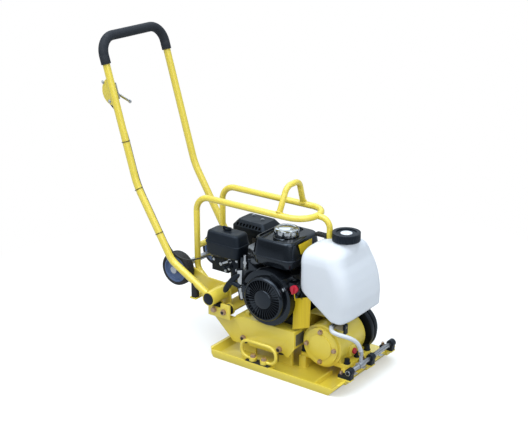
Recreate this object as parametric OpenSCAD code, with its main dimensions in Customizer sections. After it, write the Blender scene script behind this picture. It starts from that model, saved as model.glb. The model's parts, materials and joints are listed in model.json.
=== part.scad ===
// Forward plate compactor: vibrating base plate with exciter, engine on a floating deck,
// tube cage, folding handle, rear wheels, water tank and sprinkler bar.
// Origin at the middle of the sole, +X towards the sprinkler, +Z up, millimetres.

/* [Base plate] */
// Width of the base plate across the machine
plate_w = 350; // [340:1:370]
// Length of the flat part of the sole, back from its front end
sole_l = 455; // [445:1:475]
// Thickness of the plate
plate_t = 8; // [6:0.5:10]
// Forward run of the front turn-up
front_run = 42; // [38:1:48]
// Height of the front turn-up
front_rise = 46; // [42:1:50]
// Rearward run of the rear turn-up
rear_run = 20; // [14:1:26]
// Height of the rear turn-up
rear_rise = 30; // [24:1:36]
// Height of the raised long edges
edge_h = 26; // [22:1:30]
// Width of the sloping inside of each long edge
edge_slope_w = 36; // [28:1:44]
// Cut across the front corners in plan
corner_cut = 6; // [4:1:12]

/* [Exciter] */
// Distance of the exciter shaft ahead of the middle of the sole
exc_x = 143; // [138:1:148]
// Height of the exciter seat above the ground
seat_h = 50; // [44:1:54]
// Height of the exciter shaft above the seat
exc_axis_h = 62; // [58:1:68]
// Outer radius of the exciter barrel
exc_r = 72; // [68:1:76]
// Wall of the exciter barrel
exc_wall = 28; // [27:0.5:30]
// Near end of the exciter barrel from the centre plane
exc_near = 83; // [78:1:88]
// Far end of the exciter barrel from the centre plane
exc_far = 62; // [56:1:66]
// Radius of the exciter end covers
cover_r = 63; // [60:1:67]
// Thickness of the exciter end covers
cover_t = 10; // [8:0.5:12]
// Bolt circle diameter of the end covers
cover_pcd = 104; // [100:1:108]
// Radius of the raised disc on the near end cover
boss_r = 42; // [36:1:44]
// Half distance between the two rows of exciter mounting bolts
exc_bolt_dx = 81; // [80:1:86]
// Distance from the middle bolt to the outer bolts in each row
exc_bolt_dy = 61; // [54:1:64]
// Thickness of the exciter foot
foot_t = 14; // [12:0.5:18]
// Diameter of the exciter shaft
exc_shaft_d = 35; // [30:1:40]
// Outer radius of the eccentric weight
ecc_r = 40; // [34:1:41]

/* [Belt drive] */
// Pitch radius of the clutch pulley
clutch_r = 50; // [44:1:56]
// Pitch radius of the exciter pulley
exc_pulley_r = 33; // [28:1:38]
// Middle of the belt from the centre plane
belt_y = 111; // [109:0.5:113]
// Width of the belt
belt_w = 10; // [8:0.5:12]
// Thickness of the belt
belt_t = 8; // [6:0.5:9]
// Radius of the belt guard at both ends
guard_r = 83; // [78:1:86]
// Wall of the belt guard
guard_t = 3; // [2:0.5:4]

/* [Engine deck] */
// Height of the deck top above the ground
deck_z = 148; // [144:1:152]
// Width over the deck side flanges
deck_w = 240; // [234:1:246]
// Sheet thickness of the deck
deck_t = 4; // [3:0.5:5]
// Front face of the deck ahead of the middle of the sole
deck_front = 60; // [56:1:62]
// Rear edge of the deck top behind the middle of the sole
deck_rear = 172; // [168:1:174]
// Rear end of the side flanges behind the middle of the sole
flange_rear = 263; // [258:1:268]
// Depth of the side flanges below the deck top
flange_drop = 98; // [92:1:104]
// Height of the deck isolators above the ground
iso_z = 74; // [70:1:78]
// Place of the front isolators along the deck
iso_front_x = 3; // [-6:1:8]
// Distance between the front and rear isolators
iso_pitch = 146; // [136:1:150]
// Diameter of the deck isolators
iso_d = 44; // [38:1:48]
// Length of the deck isolators
iso_l = 30; // [26:1:34]

/* [Handle carrier and wheels] */
// Place of the handle pivot behind the middle of the sole
pivot_back = 249; // [246:1:252]
// Height of the handle pivot above the ground
pivot_z = 203; // [201:1:208]
// Outer diameter of the pivot tube
pivot_d = 48; // [44:1:50]
// Half length of the pivot tube
pivot_half = 171; // [169:1:176]
// Thickness of the carrier plates
carrier_t = 6; // [5:0.5:8]
// Diameter of the carrier isolators
bush_d = 36; // [32:1:38]
// Length of the carrier isolators
bush_l = 25; // [22:1:28]
// Height of the carrier isolators above the ground
bush_z = 159; // [156:1:160]
// Place of the rear carrier isolators behind the middle of the sole
bush_back = 245; // [242:1:248]
// Distance between the carrier isolators of one side
bush_pitch = 40; // [38:1:42]
// Place of the wheel axle behind the middle of the sole
axle_back = 427; // [423:1:432]
// Height of the wheel axle above the ground
axle_z = 252; // [249:1:256]
// Diameter of the wheel axle
axle_d = 16; // [14:1:20]
// Diameter of the wheels
wheel_d = 119; // [114:1:124]
// Width of the wheels
wheel_w = 40; // [34:1:42]
// Thickness of the tyre tread
tyre_t = 14; // [11:1:18]

/* [Handle] */
// Distance of the handle legs from the centre plane
leg_y = 153; // [152:1:157]
// Outer diameter of the handle tube
handle_d = 25; // [22:1:26]
// Wall of the handle and cage tubes
tube_wall = 2.5; // [2:0.25:3]
// Outer diameter of the foam grip
grip_d = 33; // [29:1:36]
// Place of the lower handle bend behind the middle of the sole
bend_back = 417; // [414:1:424]
// Height of the lower handle bend
bend_z = 295; // [291:1:300]
// Place of the upper handle bend behind the middle of the sole
knee_back = 562; // [550:1:575]
// Height of the upper handle bend
knee_z = 534; // [520:1:550]
// Place of the handle top behind the middle of the sole
top_back = 702; // [690:1:715]
// Height of the handle top bar
top_z = 1014; // [990:1:1040]
// Bend radius of the handle top corners
corner_r = 60; // [50:1:75]

/* [Cage] */
// Outer diameter of the cage tubes
cage_d = 21; // [19:1:22]
// Distance of the cage rails from the centre plane
rail_y = 70; // [68:1:74]
// Height of the cage rails
rail_z = 511; // [505:1:520]
// Place of the rear posts behind the middle of the sole
post_back = 373; // [370:1:376]
// Place of the front post ahead of the middle of the sole
front_post_x = 110; // [108:1:113]
// Height of the top of the lifting hoop
hoop_z = 600; // [590:1:620]
// Place of the lifting hoop behind the middle of the sole
hoop_back = 38; // [30:1:50]

/* [Engine] */
// Place of the crankshaft behind the middle of the sole
crank_back = 36; // [34:1:38]
// Height of the crankshaft above the deck
crank_h = 104; // [102:1:107]
// Diameter of the crankshaft
crank_d = 25; // [20:1:30]
// Radius of the fan cover
fan_r = 94; // [90:1:97]
// Radius of the recoil starter cover
recoil_r = 75; // [70:1:80]
// Front of the recoil starter cover from the centre plane
recoil_y = 165; // [162:1:168]
// Tilt of the cylinder above the horizontal
cyl_tilt = 25; // [22:1:28]
// Length of the fuel tank along the machine
fuel_l = 168; // [162:1:172]
// Width of the fuel tank across the machine
fuel_w = 190; // [184:1:194]
// Height of the upper fuel tank half
fuel_h = 58; // [52:1:62]
// Radius of the fuel cap
fuel_cap_r = 41; // [36:1:44]
// Length of the air cleaner along the machine
air_l = 142; // [136:1:146]
// Width of the air cleaner across the machine
air_w = 76; // [70:1:78]
// Height of the air cleaner cover
air_h = 42; // [36:1:46]

/* [Water system] */
// Half width of the water tank
tank_half = 114; // [108:1:118]
// Wall of the water tank
tank_wall = 3; // [2.5:0.5:4]
// Radius of the filler neck
neck_r = 38; // [34:1:40]
// Radius of the tank cap
cap_r = 45; // [43:1:48]
// Height of the tank cap
cap_h = 26; // [24:1:30]
// Diameter of the sprinkler bar
bar_d = 16; // [14:1:18]
// Height of the sprinkler bar
bar_z = 77; // [75:1:80]
// Outer diameter of the water hose
hose_d = 14; // [12:1:15]

/* [Hidden] */
$fn = 48;

yellow = "#d8c43c";
black = "#20242a";
steel = "#b9bcc0";
rubber = "#26282b";
overlap = 1;
play = 0.3;
bolt_play = 0.2;
running = 0.06;
thinning = 0.03;
lap = 0.5;
bolt_d = 10;
bolt_head_h = 7;
washer_t = 2;
thread_l = 12;

exc_z = seat_h + exc_axis_h;
crank_x = -crank_back;
crank_z = deck_z + crank_h;
pivot_x = -pivot_back;
axle_x = -axle_back;
iso_xs = [iso_front_x, iso_front_x - iso_pitch];
flange_y = deck_w / 2;
ear_y = flange_y - deck_t - iso_l;
ear_t = 8;
ear_r = iso_d / 2 + 4;
bolt_edge = 3.5;
sole_front = exc_x + exc_bolt_dx + bolt_edge;
sole_rear = sole_front - sole_l;
front_x = sole_front + front_run;
rear_x = sole_rear - rear_run;
bar_x = front_x + 6;
clamp_ys = [-1, 0, 1] * (plate_w / 2 - 48);
bracket_top = front_rise + 6;
tab_rear = front_x - 32;
tab_bolt_x = front_x - 25;
loop_x = -50;
loop_half = 69;
loop_bar = 11;
loop_top = 95;
loop_y = plate_w / 2 - 12;
pad_half = 50;
strip_t = 4;
eye_r = 13;
eye_h = loop_bar + 1;
eye_x = 22;
eye_z = edge_h + strip_t;
bush_xs = [-bush_back, -bush_back + bush_pitch];
lug_y = flange_y - carrier_t - 5;
bracket_y = lug_y + carrier_t + bush_l;
bracket_t = 5;
plate_in_y = rail_y + cage_d / 2;
plate_out_y = plate_in_y + carrier_t;
wheel_in_y = plate_out_y + 2.5;
wheel_out_y = wheel_in_y + wheel_w;
cyl_dir = [-cos(cyl_tilt), sin(cyl_tilt)];
engine_far = 50;
engine_near = 78;
engine_foot_t = 12;
foot_bolt_dx = 81;
foot_bolt_dy = 38;
fan_y = 140;
block_half = 72;
dip_at = [crank_x - block_half, -50, deck_z + 42];
dip_neck = 10;
fuel_x = -35;
fuel_y = -30;
fuel_z = deck_z + 234;
fuel_low_h = 34;
fuel_cap_x = fuel_x + 11;
fuel_cap_y = -44;
air_x = -226;
air_y = -94;
air_z = deck_z + 236;
air_low_h = 42;
cap_x = 172;
neck_z = 448;
tank_rear = front_post_x - 40;
tank_nose = 247;
tank_base = 209;
tank_shoulder = 60;
tap_x = 186;
tap_y = -75;
tap_z = 195;
guard_near = exc_far + cover_t + washer_t + bolt_head_h + 3;
guard_far = leg_y - handle_d / 2 - 3.5;
leg_slope = atan2(bend_z - pivot_z, bend_back - pivot_back);
upper_dir = [-(top_back - knee_back), top_z - knee_z] / norm([top_back - knee_back, top_z - knee_z]);
grip_drop = 88;
plate_drop = 180;
plate_spot = [-top_back, top_z] - upper_dir * plate_drop;
knee = [-knee_back, knee_z];
lower_dir = [knee_back - bend_back, bend_z - knee_z] / norm([knee_back - bend_back, bend_z - knee_z]);
upper_l = norm(plate_spot - knee);
lever_pivot = plate_spot + [-26, 0];
lever_y = -leg_y + handle_d / 2 + 3;

cable_d = 5;
cable_y = -(leg_y - handle_d / 2 - cable_d / 2 - 0.8);

function on_upper(t, aside = 0) =
    let (p = knee + upper_dir * t * upper_l - [upper_dir[1], -upper_dir[0]] * aside) [p[0], cable_y, p[1]];
function on_lower(s) = let (p = knee + lower_dir * s) [p[0], cable_y, p[1]];

// Free water hose from the tap to the sprinkler tee
tap_end = [tap_x, tap_y - 16, tap_z];
hose_route = concat(
    [for (p = [[0, 0, 0], [0.5, -7, -0.5], [4, -17, -2], [14, -26, -4.5], [30, -30, -6.5]]) tap_end + p],
    [for (p = [[-39.5, -118, 109.5], [-21.5, -109, 105], [-8.5, -97, 96], [-0.5, -85, 82], [1.5, -75, 65],
        [1, -67, 48], [0, -63, 36]]) [bar_x, 0, bar_z] + p]);
// Throttle cable tied along the inside of the near handle leg
cable_route = concat(
    [for (p = [[-21.4, 7, -46.2], [-3.4, 13, -69.2]])
        [plate_spot[0] + p[0], p[1] - leg_y, plate_spot[1] + p[2]]],
    [on_upper(0.69, 6), on_upper(0.55), on_upper(0.37), on_upper(0.18)],
    [for (s = [3, 64, 134, 211]) on_lower(s)]);
// Loose end of the throttle cable from the handle leg to the engine
span_route = concat([on_lower(211 + 2 * play), on_lower(241)],
    [[-414, -137, 310], [-388, -134, 301], [-360, -126, 300], [-331, -113, 309], [-306, -101, 322],
    [-281, -94, 330], [-252, -92, 332]]);

function unit(v) = v / norm(v);
function arc(c, r, a0, a1, n = 6) =
    [for (i = [0:n]) let (a = a0 + (a1 - a0) * i / n) c + r * [cos(a), sin(a)]];
function round_rect(w, h, r) = concat(
    arc([w / 2 - r, h / 2 - r], r, 0, 90), arc([r - w / 2, h / 2 - r], r, 90, 180),
    arc([r - w / 2, r - h / 2], r, 180, 270), arc([w / 2 - r, r - h / 2], r, 270, 360));
function turn(p, i) = acos(max(-1, min(1, unit(p[i] - p[i - 1]) * unit(p[i + 1] - p[i]))));
function setback(p, r, i) = i == 0 || i == len(p) - 1 ? 0 : r[i] * tan(turn(p, i) / 2);
function heading(p, i) = unit(p[i + 1] - p[i]);
function inward(p, i) = unit(heading(p, i) - heading(p, i - 1) * (heading(p, i - 1) * heading(p, i)));
function roll(p, i) = i == 1 ? 0 : let (u = heading(p, i - 2), n = inward(p, i - 1), a = turn(p, i - 1))
    atan2(inward(p, i) * cross(u, n), inward(p, i) * (n * cos(a) - u * sin(a)));
function both(v) = [v[0], -v[1], v[2]];
function reversed(p) = [for (i = [len(p) - 1:-1:0]) p[i]];

// Round section, hollow when it has a wall
module section(d, wall) {
    difference() {
        circle(d = d);
        if (wall > 0) circle(d = d - 2 * wall);
    }
}

// Round rod from a to b, or a tube when it has a wall
module rod(a, b, d, wall = 0) {
    v = b - a;
    translate(a) rotate([0, acos(v[2] / norm(v)), atan2(v[1], v[0])])
        linear_extrude(norm(v)) section(d, wall);
}

// Straight run i of a bent rod along +Z, then its bend and the rest of the rod.
// A bend is drawn thinner by thinning and starts inside the straight, which reaches past it by lap.
module bent_run(p, r, d, wall, i) {
    straight = norm(p[i + 1] - p[i]) - setback(p, r, i) - setback(p, r, i + 1);
    last = i == len(p) - 2;
    lap_in = i == 0 ? 0 : lap;
    lap_out = last ? 0 : lap;
    translate([0, 0, -lap_in]) linear_extrude(straight + lap_in + lap_out) section(d, wall);
    if (!last) translate([0, 0, straight]) rotate(roll(p, i + 1)) translate([r[i + 1], 0, 0]) {
        angle = turn(p, i + 1);
        rotate([90, 0, 180]) rotate_extrude(angle = angle) translate([r[i + 1], 0])
            section(d - 2 * thinning, wall > 0 ? wall - 2 * thinning : 0);
        rotate([0, angle, 0]) translate([-r[i + 1], 0, 0]) bent_run(p, r, d, wall, i + 1);
    }
}

// Round rod or tube along corner points p, bent with radius r at each corner
module bent_rod(p, r, d, wall = 0) {
    u = heading(p, 0);
    n = inward(p, 1);
    k = cross(u, n);
    o = p[0];
    multmatrix([[n[0], k[0], u[0], o[0]], [n[1], k[1], u[1], o[1]], [n[2], k[2], u[2], o[2]], [0, 0, 0, 1]])
        bent_run(p, r, d, wall, 0);
}

// Outline in X and Z, extruded across the machine from y0 to y1
module across(y0, y1) {
    translate([0, y1, 0]) rotate([90, 0, 0]) linear_extrude(y1 - y0) children();
}

module y_cyl(x, z, r, y0, y1) {
    translate([x, y1, z]) rotate([90, 0, 0]) cylinder(r = r, h = y1 - y0);
}

module block(low, high) {
    translate(low) cube(high - low);
}

module soft_block(x, y, z, l, w, h, r) {
    translate([x, y, z]) linear_extrude(h) polygon(round_rect(l, w, r));
}

module mirrored() {
    children();
    mirror([0, 1, 0]) children();
}

// Hexagon bolt standing on z = 0 with its shank below
module bolt(shank, d = bolt_d) {
    cylinder(d = 2 * d, h = washer_t);
    translate([0, 0, washer_t]) cylinder(d = 1.8 * d, h = bolt_head_h, $fn = 6);
    translate([0, 0, -shank]) cylinder(d = d, h = shank + overlap);
}

module near_bolt(x, y, z, shank, d = bolt_d) {
    translate([x, y, z]) rotate([90, 0, 0]) bolt(shank, d);
}

// Belt-shaped outline between the crank and the exciter shaft
module belt_run(r_crank, r_exc, y0, y1) {
    run = [exc_x - crank_x, exc_z - crank_z];
    lean = atan2(run[1], run[0]);
    open = acos((r_crank - r_exc) / norm(run));
    across(y0, y1) polygon(concat(arc([crank_x, crank_z], r_crank, lean + open, lean + 360 - open, 28),
        arc([exc_x, exc_z], r_exc, lean - open, lean + open, 24)));
}

// Tube swept along route points with ten sides
function frame_at(p, i) = let (t = unit(p[min(i + 1, len(p) - 1)] - p[max(i - 1, 0)]),
    side = unit(cross(t, [0.3, 0.2, 1]))) [side, cross(t, side)];
module swept(p, d, sides = 10) {
    n = len(p);
    polyhedron(
        points = [for (i = [0:n - 1]) let (f = frame_at(p, i)) for (k = [0:sides - 1])
            let (a = 360 * k / sides) p[i] + d / 2 * (f[0] * cos(a) + f[1] * sin(a))],
        faces = concat([[for (k = [sides - 1:-1:0]) k]],
            [for (i = [0:n - 2]) for (k = [0:sides - 1]) let (m = (k + 1) % sides)
                [i * sides + k, i * sides + m, (i + 1) * sides + m, (i + 1) * sides + k]],
            [[for (k = [0:sides - 1]) (n - 1) * sides + k]]));
}

// Base plate with turned-up ends, sloping long edges and the seats it carries

module sole_profile() {
    inner = plate_t * 1.3;
    polygon([[rear_x, rear_rise], [sole_rear, 0], [sole_front, 0], [front_x, front_rise],
        [front_x - inner, front_rise], [sole_front - plate_t / 2, plate_t],
        [sole_rear + plate_t / 2, plate_t], [rear_x + inner, rear_rise]]);
}

module above_sole() {
    polygon([[rear_x, rear_rise], [sole_rear, 0], [sole_front, 0], [front_x, front_rise],
        [front_x, 2 * front_rise], [rear_x, 2 * front_rise]]);
}

module plate_plan() {
    half = plate_w / 2;
    rear_cut = corner_cut + 6;
    polygon([[rear_x, rear_cut - half], [rear_x + rear_cut, -half], [front_x - corner_cut, -half],
        [front_x, corner_cut - half], [front_x, half - corner_cut], [front_x - corner_cut, half],
        [rear_x + rear_cut, half], [rear_x, half - rear_cut]]);
}

module long_edge() {
    half = plate_w / 2;
    ridge = 5;
    translate([rear_x, 0, 0]) rotate([90, 0, 90]) linear_extrude(front_x - rear_x)
        polygon([[half, 0], [half, edge_h], [half - ridge, edge_h], [half - edge_slope_w, plate_t],
            [half - edge_slope_w, 0]]);
}

module isolator_ear(x) {
    y_cyl(x, iso_z, ear_r, ear_y - ear_t, ear_y);
    block([x - ear_r, ear_y - ear_t, plate_t - overlap], [x + ear_r, ear_y, iso_z]);
}

module exciter_rail(x) {
    rail_half = 13;
    block([x - rail_half, -exc_bolt_dy - 14, plate_t - overlap], [x + rail_half, exc_bolt_dy + 14, seat_h]);
}

module bar_bracket(y) {
    half = 12;
    block([tab_rear, y - half, bracket_top - 4], [front_x + 15, y + half, bracket_top]);
    block([front_x - 9, y - half, front_rise - 12], [front_x - 1, y + half, bracket_top - 2]);
}

module base_plate() {
    rib_t = 8;
    color(yellow) difference() {
        union() {
            intersection() {
                union() {
                    across(-plate_w / 2, plate_w / 2) sole_profile();
                    intersection() {
                        mirrored() long_edge();
                        across(-plate_w / 2, plate_w / 2) above_sole();
                    }
                    mirrored() block([loop_x - pad_half, plate_w / 2 - 30, plate_t - overlap],
                        [loop_x + pad_half, plate_w / 2, edge_h]);
                    mirrored() block([exc_x + 20, exc_bolt_dy, plate_t - overlap],
                        [exc_x + 20 + rib_t, plate_w / 2 - 4, edge_h - 2]);
                }
                linear_extrude(2 * front_rise) plate_plan();
            }
            for (s = [-1, 1]) exciter_rail(exc_x + s * exc_bolt_dx);
            for (x = iso_xs) mirrored() isolator_ear(x);
            for (y = clamp_ys) bar_bracket(y);
        }
        for (s = [-1, 1], k = [-1, 0, 1])
            translate([exc_x + s * exc_bolt_dx, k * exc_bolt_dy, seat_h - 24])
                cylinder(d = bolt_d + 2 * bolt_play, h = 25);
        for (x = iso_xs) mirrored() y_cyl(x, iso_z, bolt_d / 2 + bolt_play, ear_y - ear_t - 1, ear_y + 1);
        for (s = [-1, 1]) mirrored() translate([loop_x + s * eye_x, loop_y, edge_h - thread_l])
            cylinder(d = bolt_d + 2 * bolt_play, h = thread_l + 1);
        for (y = clamp_ys) translate([tab_bolt_x, y, bracket_top - 5])
            cylinder(d = 6 + 2 * bolt_play, h = 6);
    }
}

// Bent carrying loops with bolted eyes on each long edge, each on a rubber strip
module side_loop() {
    low = eye_z + eye_h / 2;
    l = loop_x - loop_half;
    r = loop_x + loop_half;
    corners = [[loop_x - eye_x - 4, loop_y, low], [l, loop_y, low], [l, loop_y, loop_top],
        [r, loop_y, loop_top], [r, loop_y, low], [loop_x + eye_x + 4, loop_y, low]];
    difference() {
        union() {
            bent_rod(corners, [0, 27, 29, 29, 27, 0], loop_bar);
            for (s = [-1, 1]) translate([loop_x + s * eye_x, loop_y, eye_z]) cylinder(r = eye_r, h = eye_h);
        }
        for (s = [-1, 1]) translate([loop_x + s * eye_x, loop_y, eye_z - 1])
            cylinder(d = bolt_d + 2 * bolt_play, h = eye_h + 2);
    }
}

module side_loops() {
    color(yellow) mirrored() side_loop();
}

// Rubber: deck isolators, carrier isolators and the strips under the side loops
module rubber_isolators() {
    color(rubber) {
        for (x = iso_xs) mirrored() difference() {
            y_cyl(x, iso_z, iso_d / 2, ear_y, ear_y + iso_l);
            y_cyl(x, iso_z, bolt_d / 2 + bolt_play, ear_y + iso_l - thread_l, ear_y + iso_l + 1);
        }
        for (x = bush_xs) mirrored() difference() {
            y_cyl(x, bush_z, bush_d / 2, lug_y + carrier_t, bracket_y);
            y_cyl(x, bush_z, bolt_d / 2 + bolt_play, bracket_y - thread_l, bracket_y + 1);
        }
        mirrored() difference() {
            block([loop_x - pad_half + 4, loop_y - eye_r, edge_h],
                [loop_x + pad_half - 4, loop_y + 11, eye_z]);
            for (s = [-1, 1]) translate([loop_x + s * eye_x, loop_y, edge_h - 1])
                cylinder(d = bolt_d + 2 * bolt_play, h = strip_t + 2);
        }
    }
}

// Zinc hexagon bolts with washers
module frame_bolts() {
    cover_bolt = 8;
    color(steel) {
        for (x = iso_xs) mirrored() near_bolt(x, -flange_y, iso_z, deck_t + thread_l - 1);
        for (x = bush_xs) mirrored() near_bolt(x, -bracket_y - bracket_t, bush_z, bracket_t + thread_l - 1);
        for (s = [-1, 1]) mirrored() translate([loop_x + s * eye_x, loop_y, eye_z + eye_h])
            bolt(eye_h + strip_t + thread_l - 1);
        for (a = [0:90:270]) {
            x = exc_x + cover_pcd / 2 * cos(a);
            z = exc_z + cover_pcd / 2 * sin(a);
            near_bolt(x, -exc_near - cover_t, z, cover_t + thread_l - 1, cover_bolt);
            mirror([0, 1, 0]) near_bolt(x, -exc_far - cover_t, z, cover_t + thread_l - 1, cover_bolt);
        }
        for (s = [-1, 1], k = [-1, 1])
            translate([crank_x + s * foot_bolt_dx, k * foot_bolt_dy, deck_z + engine_foot_t])
                bolt(engine_foot_t + deck_t, cover_bolt);
        for (y = clamp_ys) translate([tab_bolt_x, y, bracket_top + 10]) bolt(14, 6);
    }
}

// Exciter: cast housing, end covers, bearings and the out-of-balance shaft

module exciter_housing() {
    foot_half_x = exc_bolt_dx + 11;
    foot_half_y = exc_bolt_dy + 14;
    bore = exc_r - exc_wall;
    skirt = exc_r - 8;
    color(yellow) difference() {
        union() {
            y_cyl(exc_x, exc_z, exc_r, -exc_near, exc_far);
            soft_block(exc_x, 0, seat_h, 2 * foot_half_x, 2 * foot_half_y, foot_t, 12);
            block([exc_x - skirt, -exc_near + 12, seat_h + 2], [exc_x + skirt, exc_far - 4, exc_z]);
            translate([exc_x + exc_r - 14, -18, exc_z - 20]) rotate([0, 90, 0]) cylinder(r = 13, h = 20);
        }
        y_cyl(exc_x, exc_z, bore, -exc_near - 1, exc_far + 1);
        for (s = [-1, 1], k = [-1, 0, 1])
            translate([exc_x + s * exc_bolt_dx, k * exc_bolt_dy, seat_h - 1])
                cylinder(d = bolt_d + 2 * bolt_play, h = foot_t + 2);
        for (a = [0:90:270]) {
            x = exc_x + cover_pcd / 2 * cos(a);
            z = exc_z + cover_pcd / 2 * sin(a);
            y_cyl(x, z, 4 + bolt_play, -exc_near - 1, -exc_near + thread_l);
            y_cyl(x, z, 4 + bolt_play, exc_far - thread_l, exc_far + 1);
        }
        translate([exc_x + exc_r - 8, -18, exc_z - 20]) rotate([0, 90, 0]) cylinder(r = 8, h = 20);
        y_cyl(exc_x, exc_z, cover_r + 1, exc_far, exc_bolt_dy + 20);
    }
}

bearing_r = exc_r - exc_wall;
bearing_w = 20;

module cover_holes(y0, y1) {
    for (a = [0:90:270])
        y_cyl(exc_x + cover_pcd / 2 * cos(a), exc_z + cover_pcd / 2 * sin(a), 4 + bolt_play, y0, y1);
}

module exciter_end_cover() {
    face = -exc_near - cover_t;
    color(yellow) difference() {
        union() {
            y_cyl(exc_x, exc_z, cover_r, face, -exc_near);
            y_cyl(exc_x, exc_z, boss_r, face - 4, face + 1);
        }
        cover_holes(face - 1, -exc_near + 1);
    }
}

module exciter_pulley_cover() {
    color(yellow) difference() {
        y_cyl(exc_x, exc_z, cover_r, exc_far, exc_far + cover_t);
        y_cyl(exc_x, exc_z, exc_shaft_d / 2 + 1, exc_far - 1, exc_far + cover_t + 1);
        cover_holes(exc_far - 1, exc_far + cover_t + 1);
    }
}

module exciter_bearings() {
    color(steel) for (y = [-exc_near + 4, exc_far - 4 - bearing_w]) difference() {
        y_cyl(exc_x, exc_z, bearing_r, y, y + bearing_w);
        y_cyl(exc_x, exc_z, exc_shaft_d / 2 + running, y - 1, y + bearing_w + 1);
    }
}

module exciter_shaft() {
    weight_near = -exc_near + 4 + bearing_w + 6;
    weight_far = exc_far - 4 - bearing_w - 6;
    color(steel) {
        y_cyl(exc_x, exc_z, exc_shaft_d / 2, -exc_near + 3, belt_y + belt_w / 2 + 7);
        intersection() {
            y_cyl(exc_x, exc_z, ecc_r, weight_near, weight_far);
            block([exc_x - ecc_r, weight_near, exc_z - ecc_r], [exc_x + ecc_r, weight_far, exc_z]);
        }
    }
}

// Grooved belt pulley of pitch radius r, bored for its shaft
module grooved_pulley(x, z, r, bore_r) {
    rim = r + belt_t / 2 + 2;
    floor_r = r - belt_t / 2 - 2;
    half = belt_w / 2 + 6;
    gap = belt_w / 2 + 0.6;
    difference() {
        translate([x, belt_y, z]) rotate([90, 0, 0]) rotate_extrude()
            polygon([[bore_r, -half], [rim, -half], [rim, -gap - 1.5], [floor_r, -gap], [floor_r, gap],
                [rim, gap + 1.5], [rim, half], [bore_r, half]]);
    }
}

module exciter_pulley() {
    color(black) grooved_pulley(exc_x, exc_z, exc_pulley_r, exc_shaft_d / 2);
}

module exciter_mount_bolts() {
    cap_bolt_r = 9;
    cap_bolt_h = 17;
    color(black) for (s = [-1, 1], k = [-1, 0, 1])
        translate([exc_x + s * exc_bolt_dx, k * exc_bolt_dy, seat_h + foot_t]) {
            cylinder(r = 11, h = 3);
            translate([0, 0, 2]) cylinder(r = cap_bolt_r, h = cap_bolt_h - 2);
            translate([0, 0, -foot_t - 20]) cylinder(d = bolt_d, h = foot_t + 21);
        }
}

module exciter_oil_plug() {
    color("#c0283a") translate([exc_x + exc_r + 6, -18, exc_z - 20]) rotate([0, 90, 0]) {
        cylinder(r = 10, h = 7);
        translate([0, 0, -12]) cylinder(r = 8 - bolt_play, h = 13);
    }
}

// Folded engine deck floating on four isolators
module flange_outline() {
    low = deck_z - flange_drop;
    polygon([[deck_front, deck_z], [deck_front, deck_z - 60], [deck_front - 22, low + 4],
        [-flange_rear + 78, low], [-flange_rear, deck_z - 26], [-flange_rear, deck_z - 9],
        [-deck_rear - 6, deck_z - 9], [-deck_rear, deck_z]]);
}

module outer_bracket() {
    rear = -bush_back - bush_d / 2 - bracket_t - 2;
    front = rear + bush_pitch + 50;
    low = bush_z - bush_d / 2 - bracket_t - 1;
    notch = pivot_x + pivot_d / 2 + 5;
    difference() {
        union() {
            across(-bracket_y - bracket_t, -bracket_y) polygon([[rear, low], [front, low],
                [front, bush_z + 28], [notch + 3, bush_z + 28], [notch, bush_z + 10], [rear, bush_z + 10]]);
            block([rear, -bracket_y - 1, low], [front, -flange_y, low + bracket_t]);
            block([rear, -bracket_y - 1, low], [rear + bracket_t, -flange_y - 6, bush_z + 2]);
        }
        for (x = bush_xs)
            y_cyl(x, bush_z, bolt_d / 2 + bolt_play, -bracket_y - bracket_t - 1, -bracket_y + 1);
    }
}

module engine_deck() {
    rib_x = -deck_rear + 20;
    arch_r = 19;
    arch_dx = 8;
    arch_dz = 30;
    color(yellow) difference() {
        union() {
            block([-deck_rear, -flange_y, deck_z - deck_t], [deck_front, flange_y, deck_z]);
            mirrored() across(-flange_y, deck_t - flange_y) flange_outline();
            block([deck_front - deck_t, -flange_y, deck_z - 60], [deck_front, flange_y, deck_z]);
            block([rib_x, -flange_y + 20, deck_z - 1], [rib_x + 17, flange_y - 20, deck_z + 10]);
            mirrored() outer_bracket();
        }
        belt_run(guard_r + 5, guard_r + 5, guard_near - 4, guard_far + 20);
        for (x = iso_xs) mirrored()
            y_cyl(x, iso_z, bolt_d / 2 + bolt_play, -flange_y - 1, deck_t - flange_y + 1);
        for (x = iso_xs) mirrored()
            y_cyl(x + arch_dx, iso_z - arch_dz, arch_r, -flange_y - 1, deck_t - flange_y + 1);
        for (s = [-1, 1], k = [-1, 1])
            translate([crank_x + s * foot_bolt_dx, k * foot_bolt_dy, deck_z - deck_t - 1])
                cylinder(d = 8 + 2 * bolt_play, h = deck_t + 2);
    }
}

// Engine block with the inclined cylinder
module at_crank() {
    translate([crank_x, 0, crank_z]) children();
}

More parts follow.
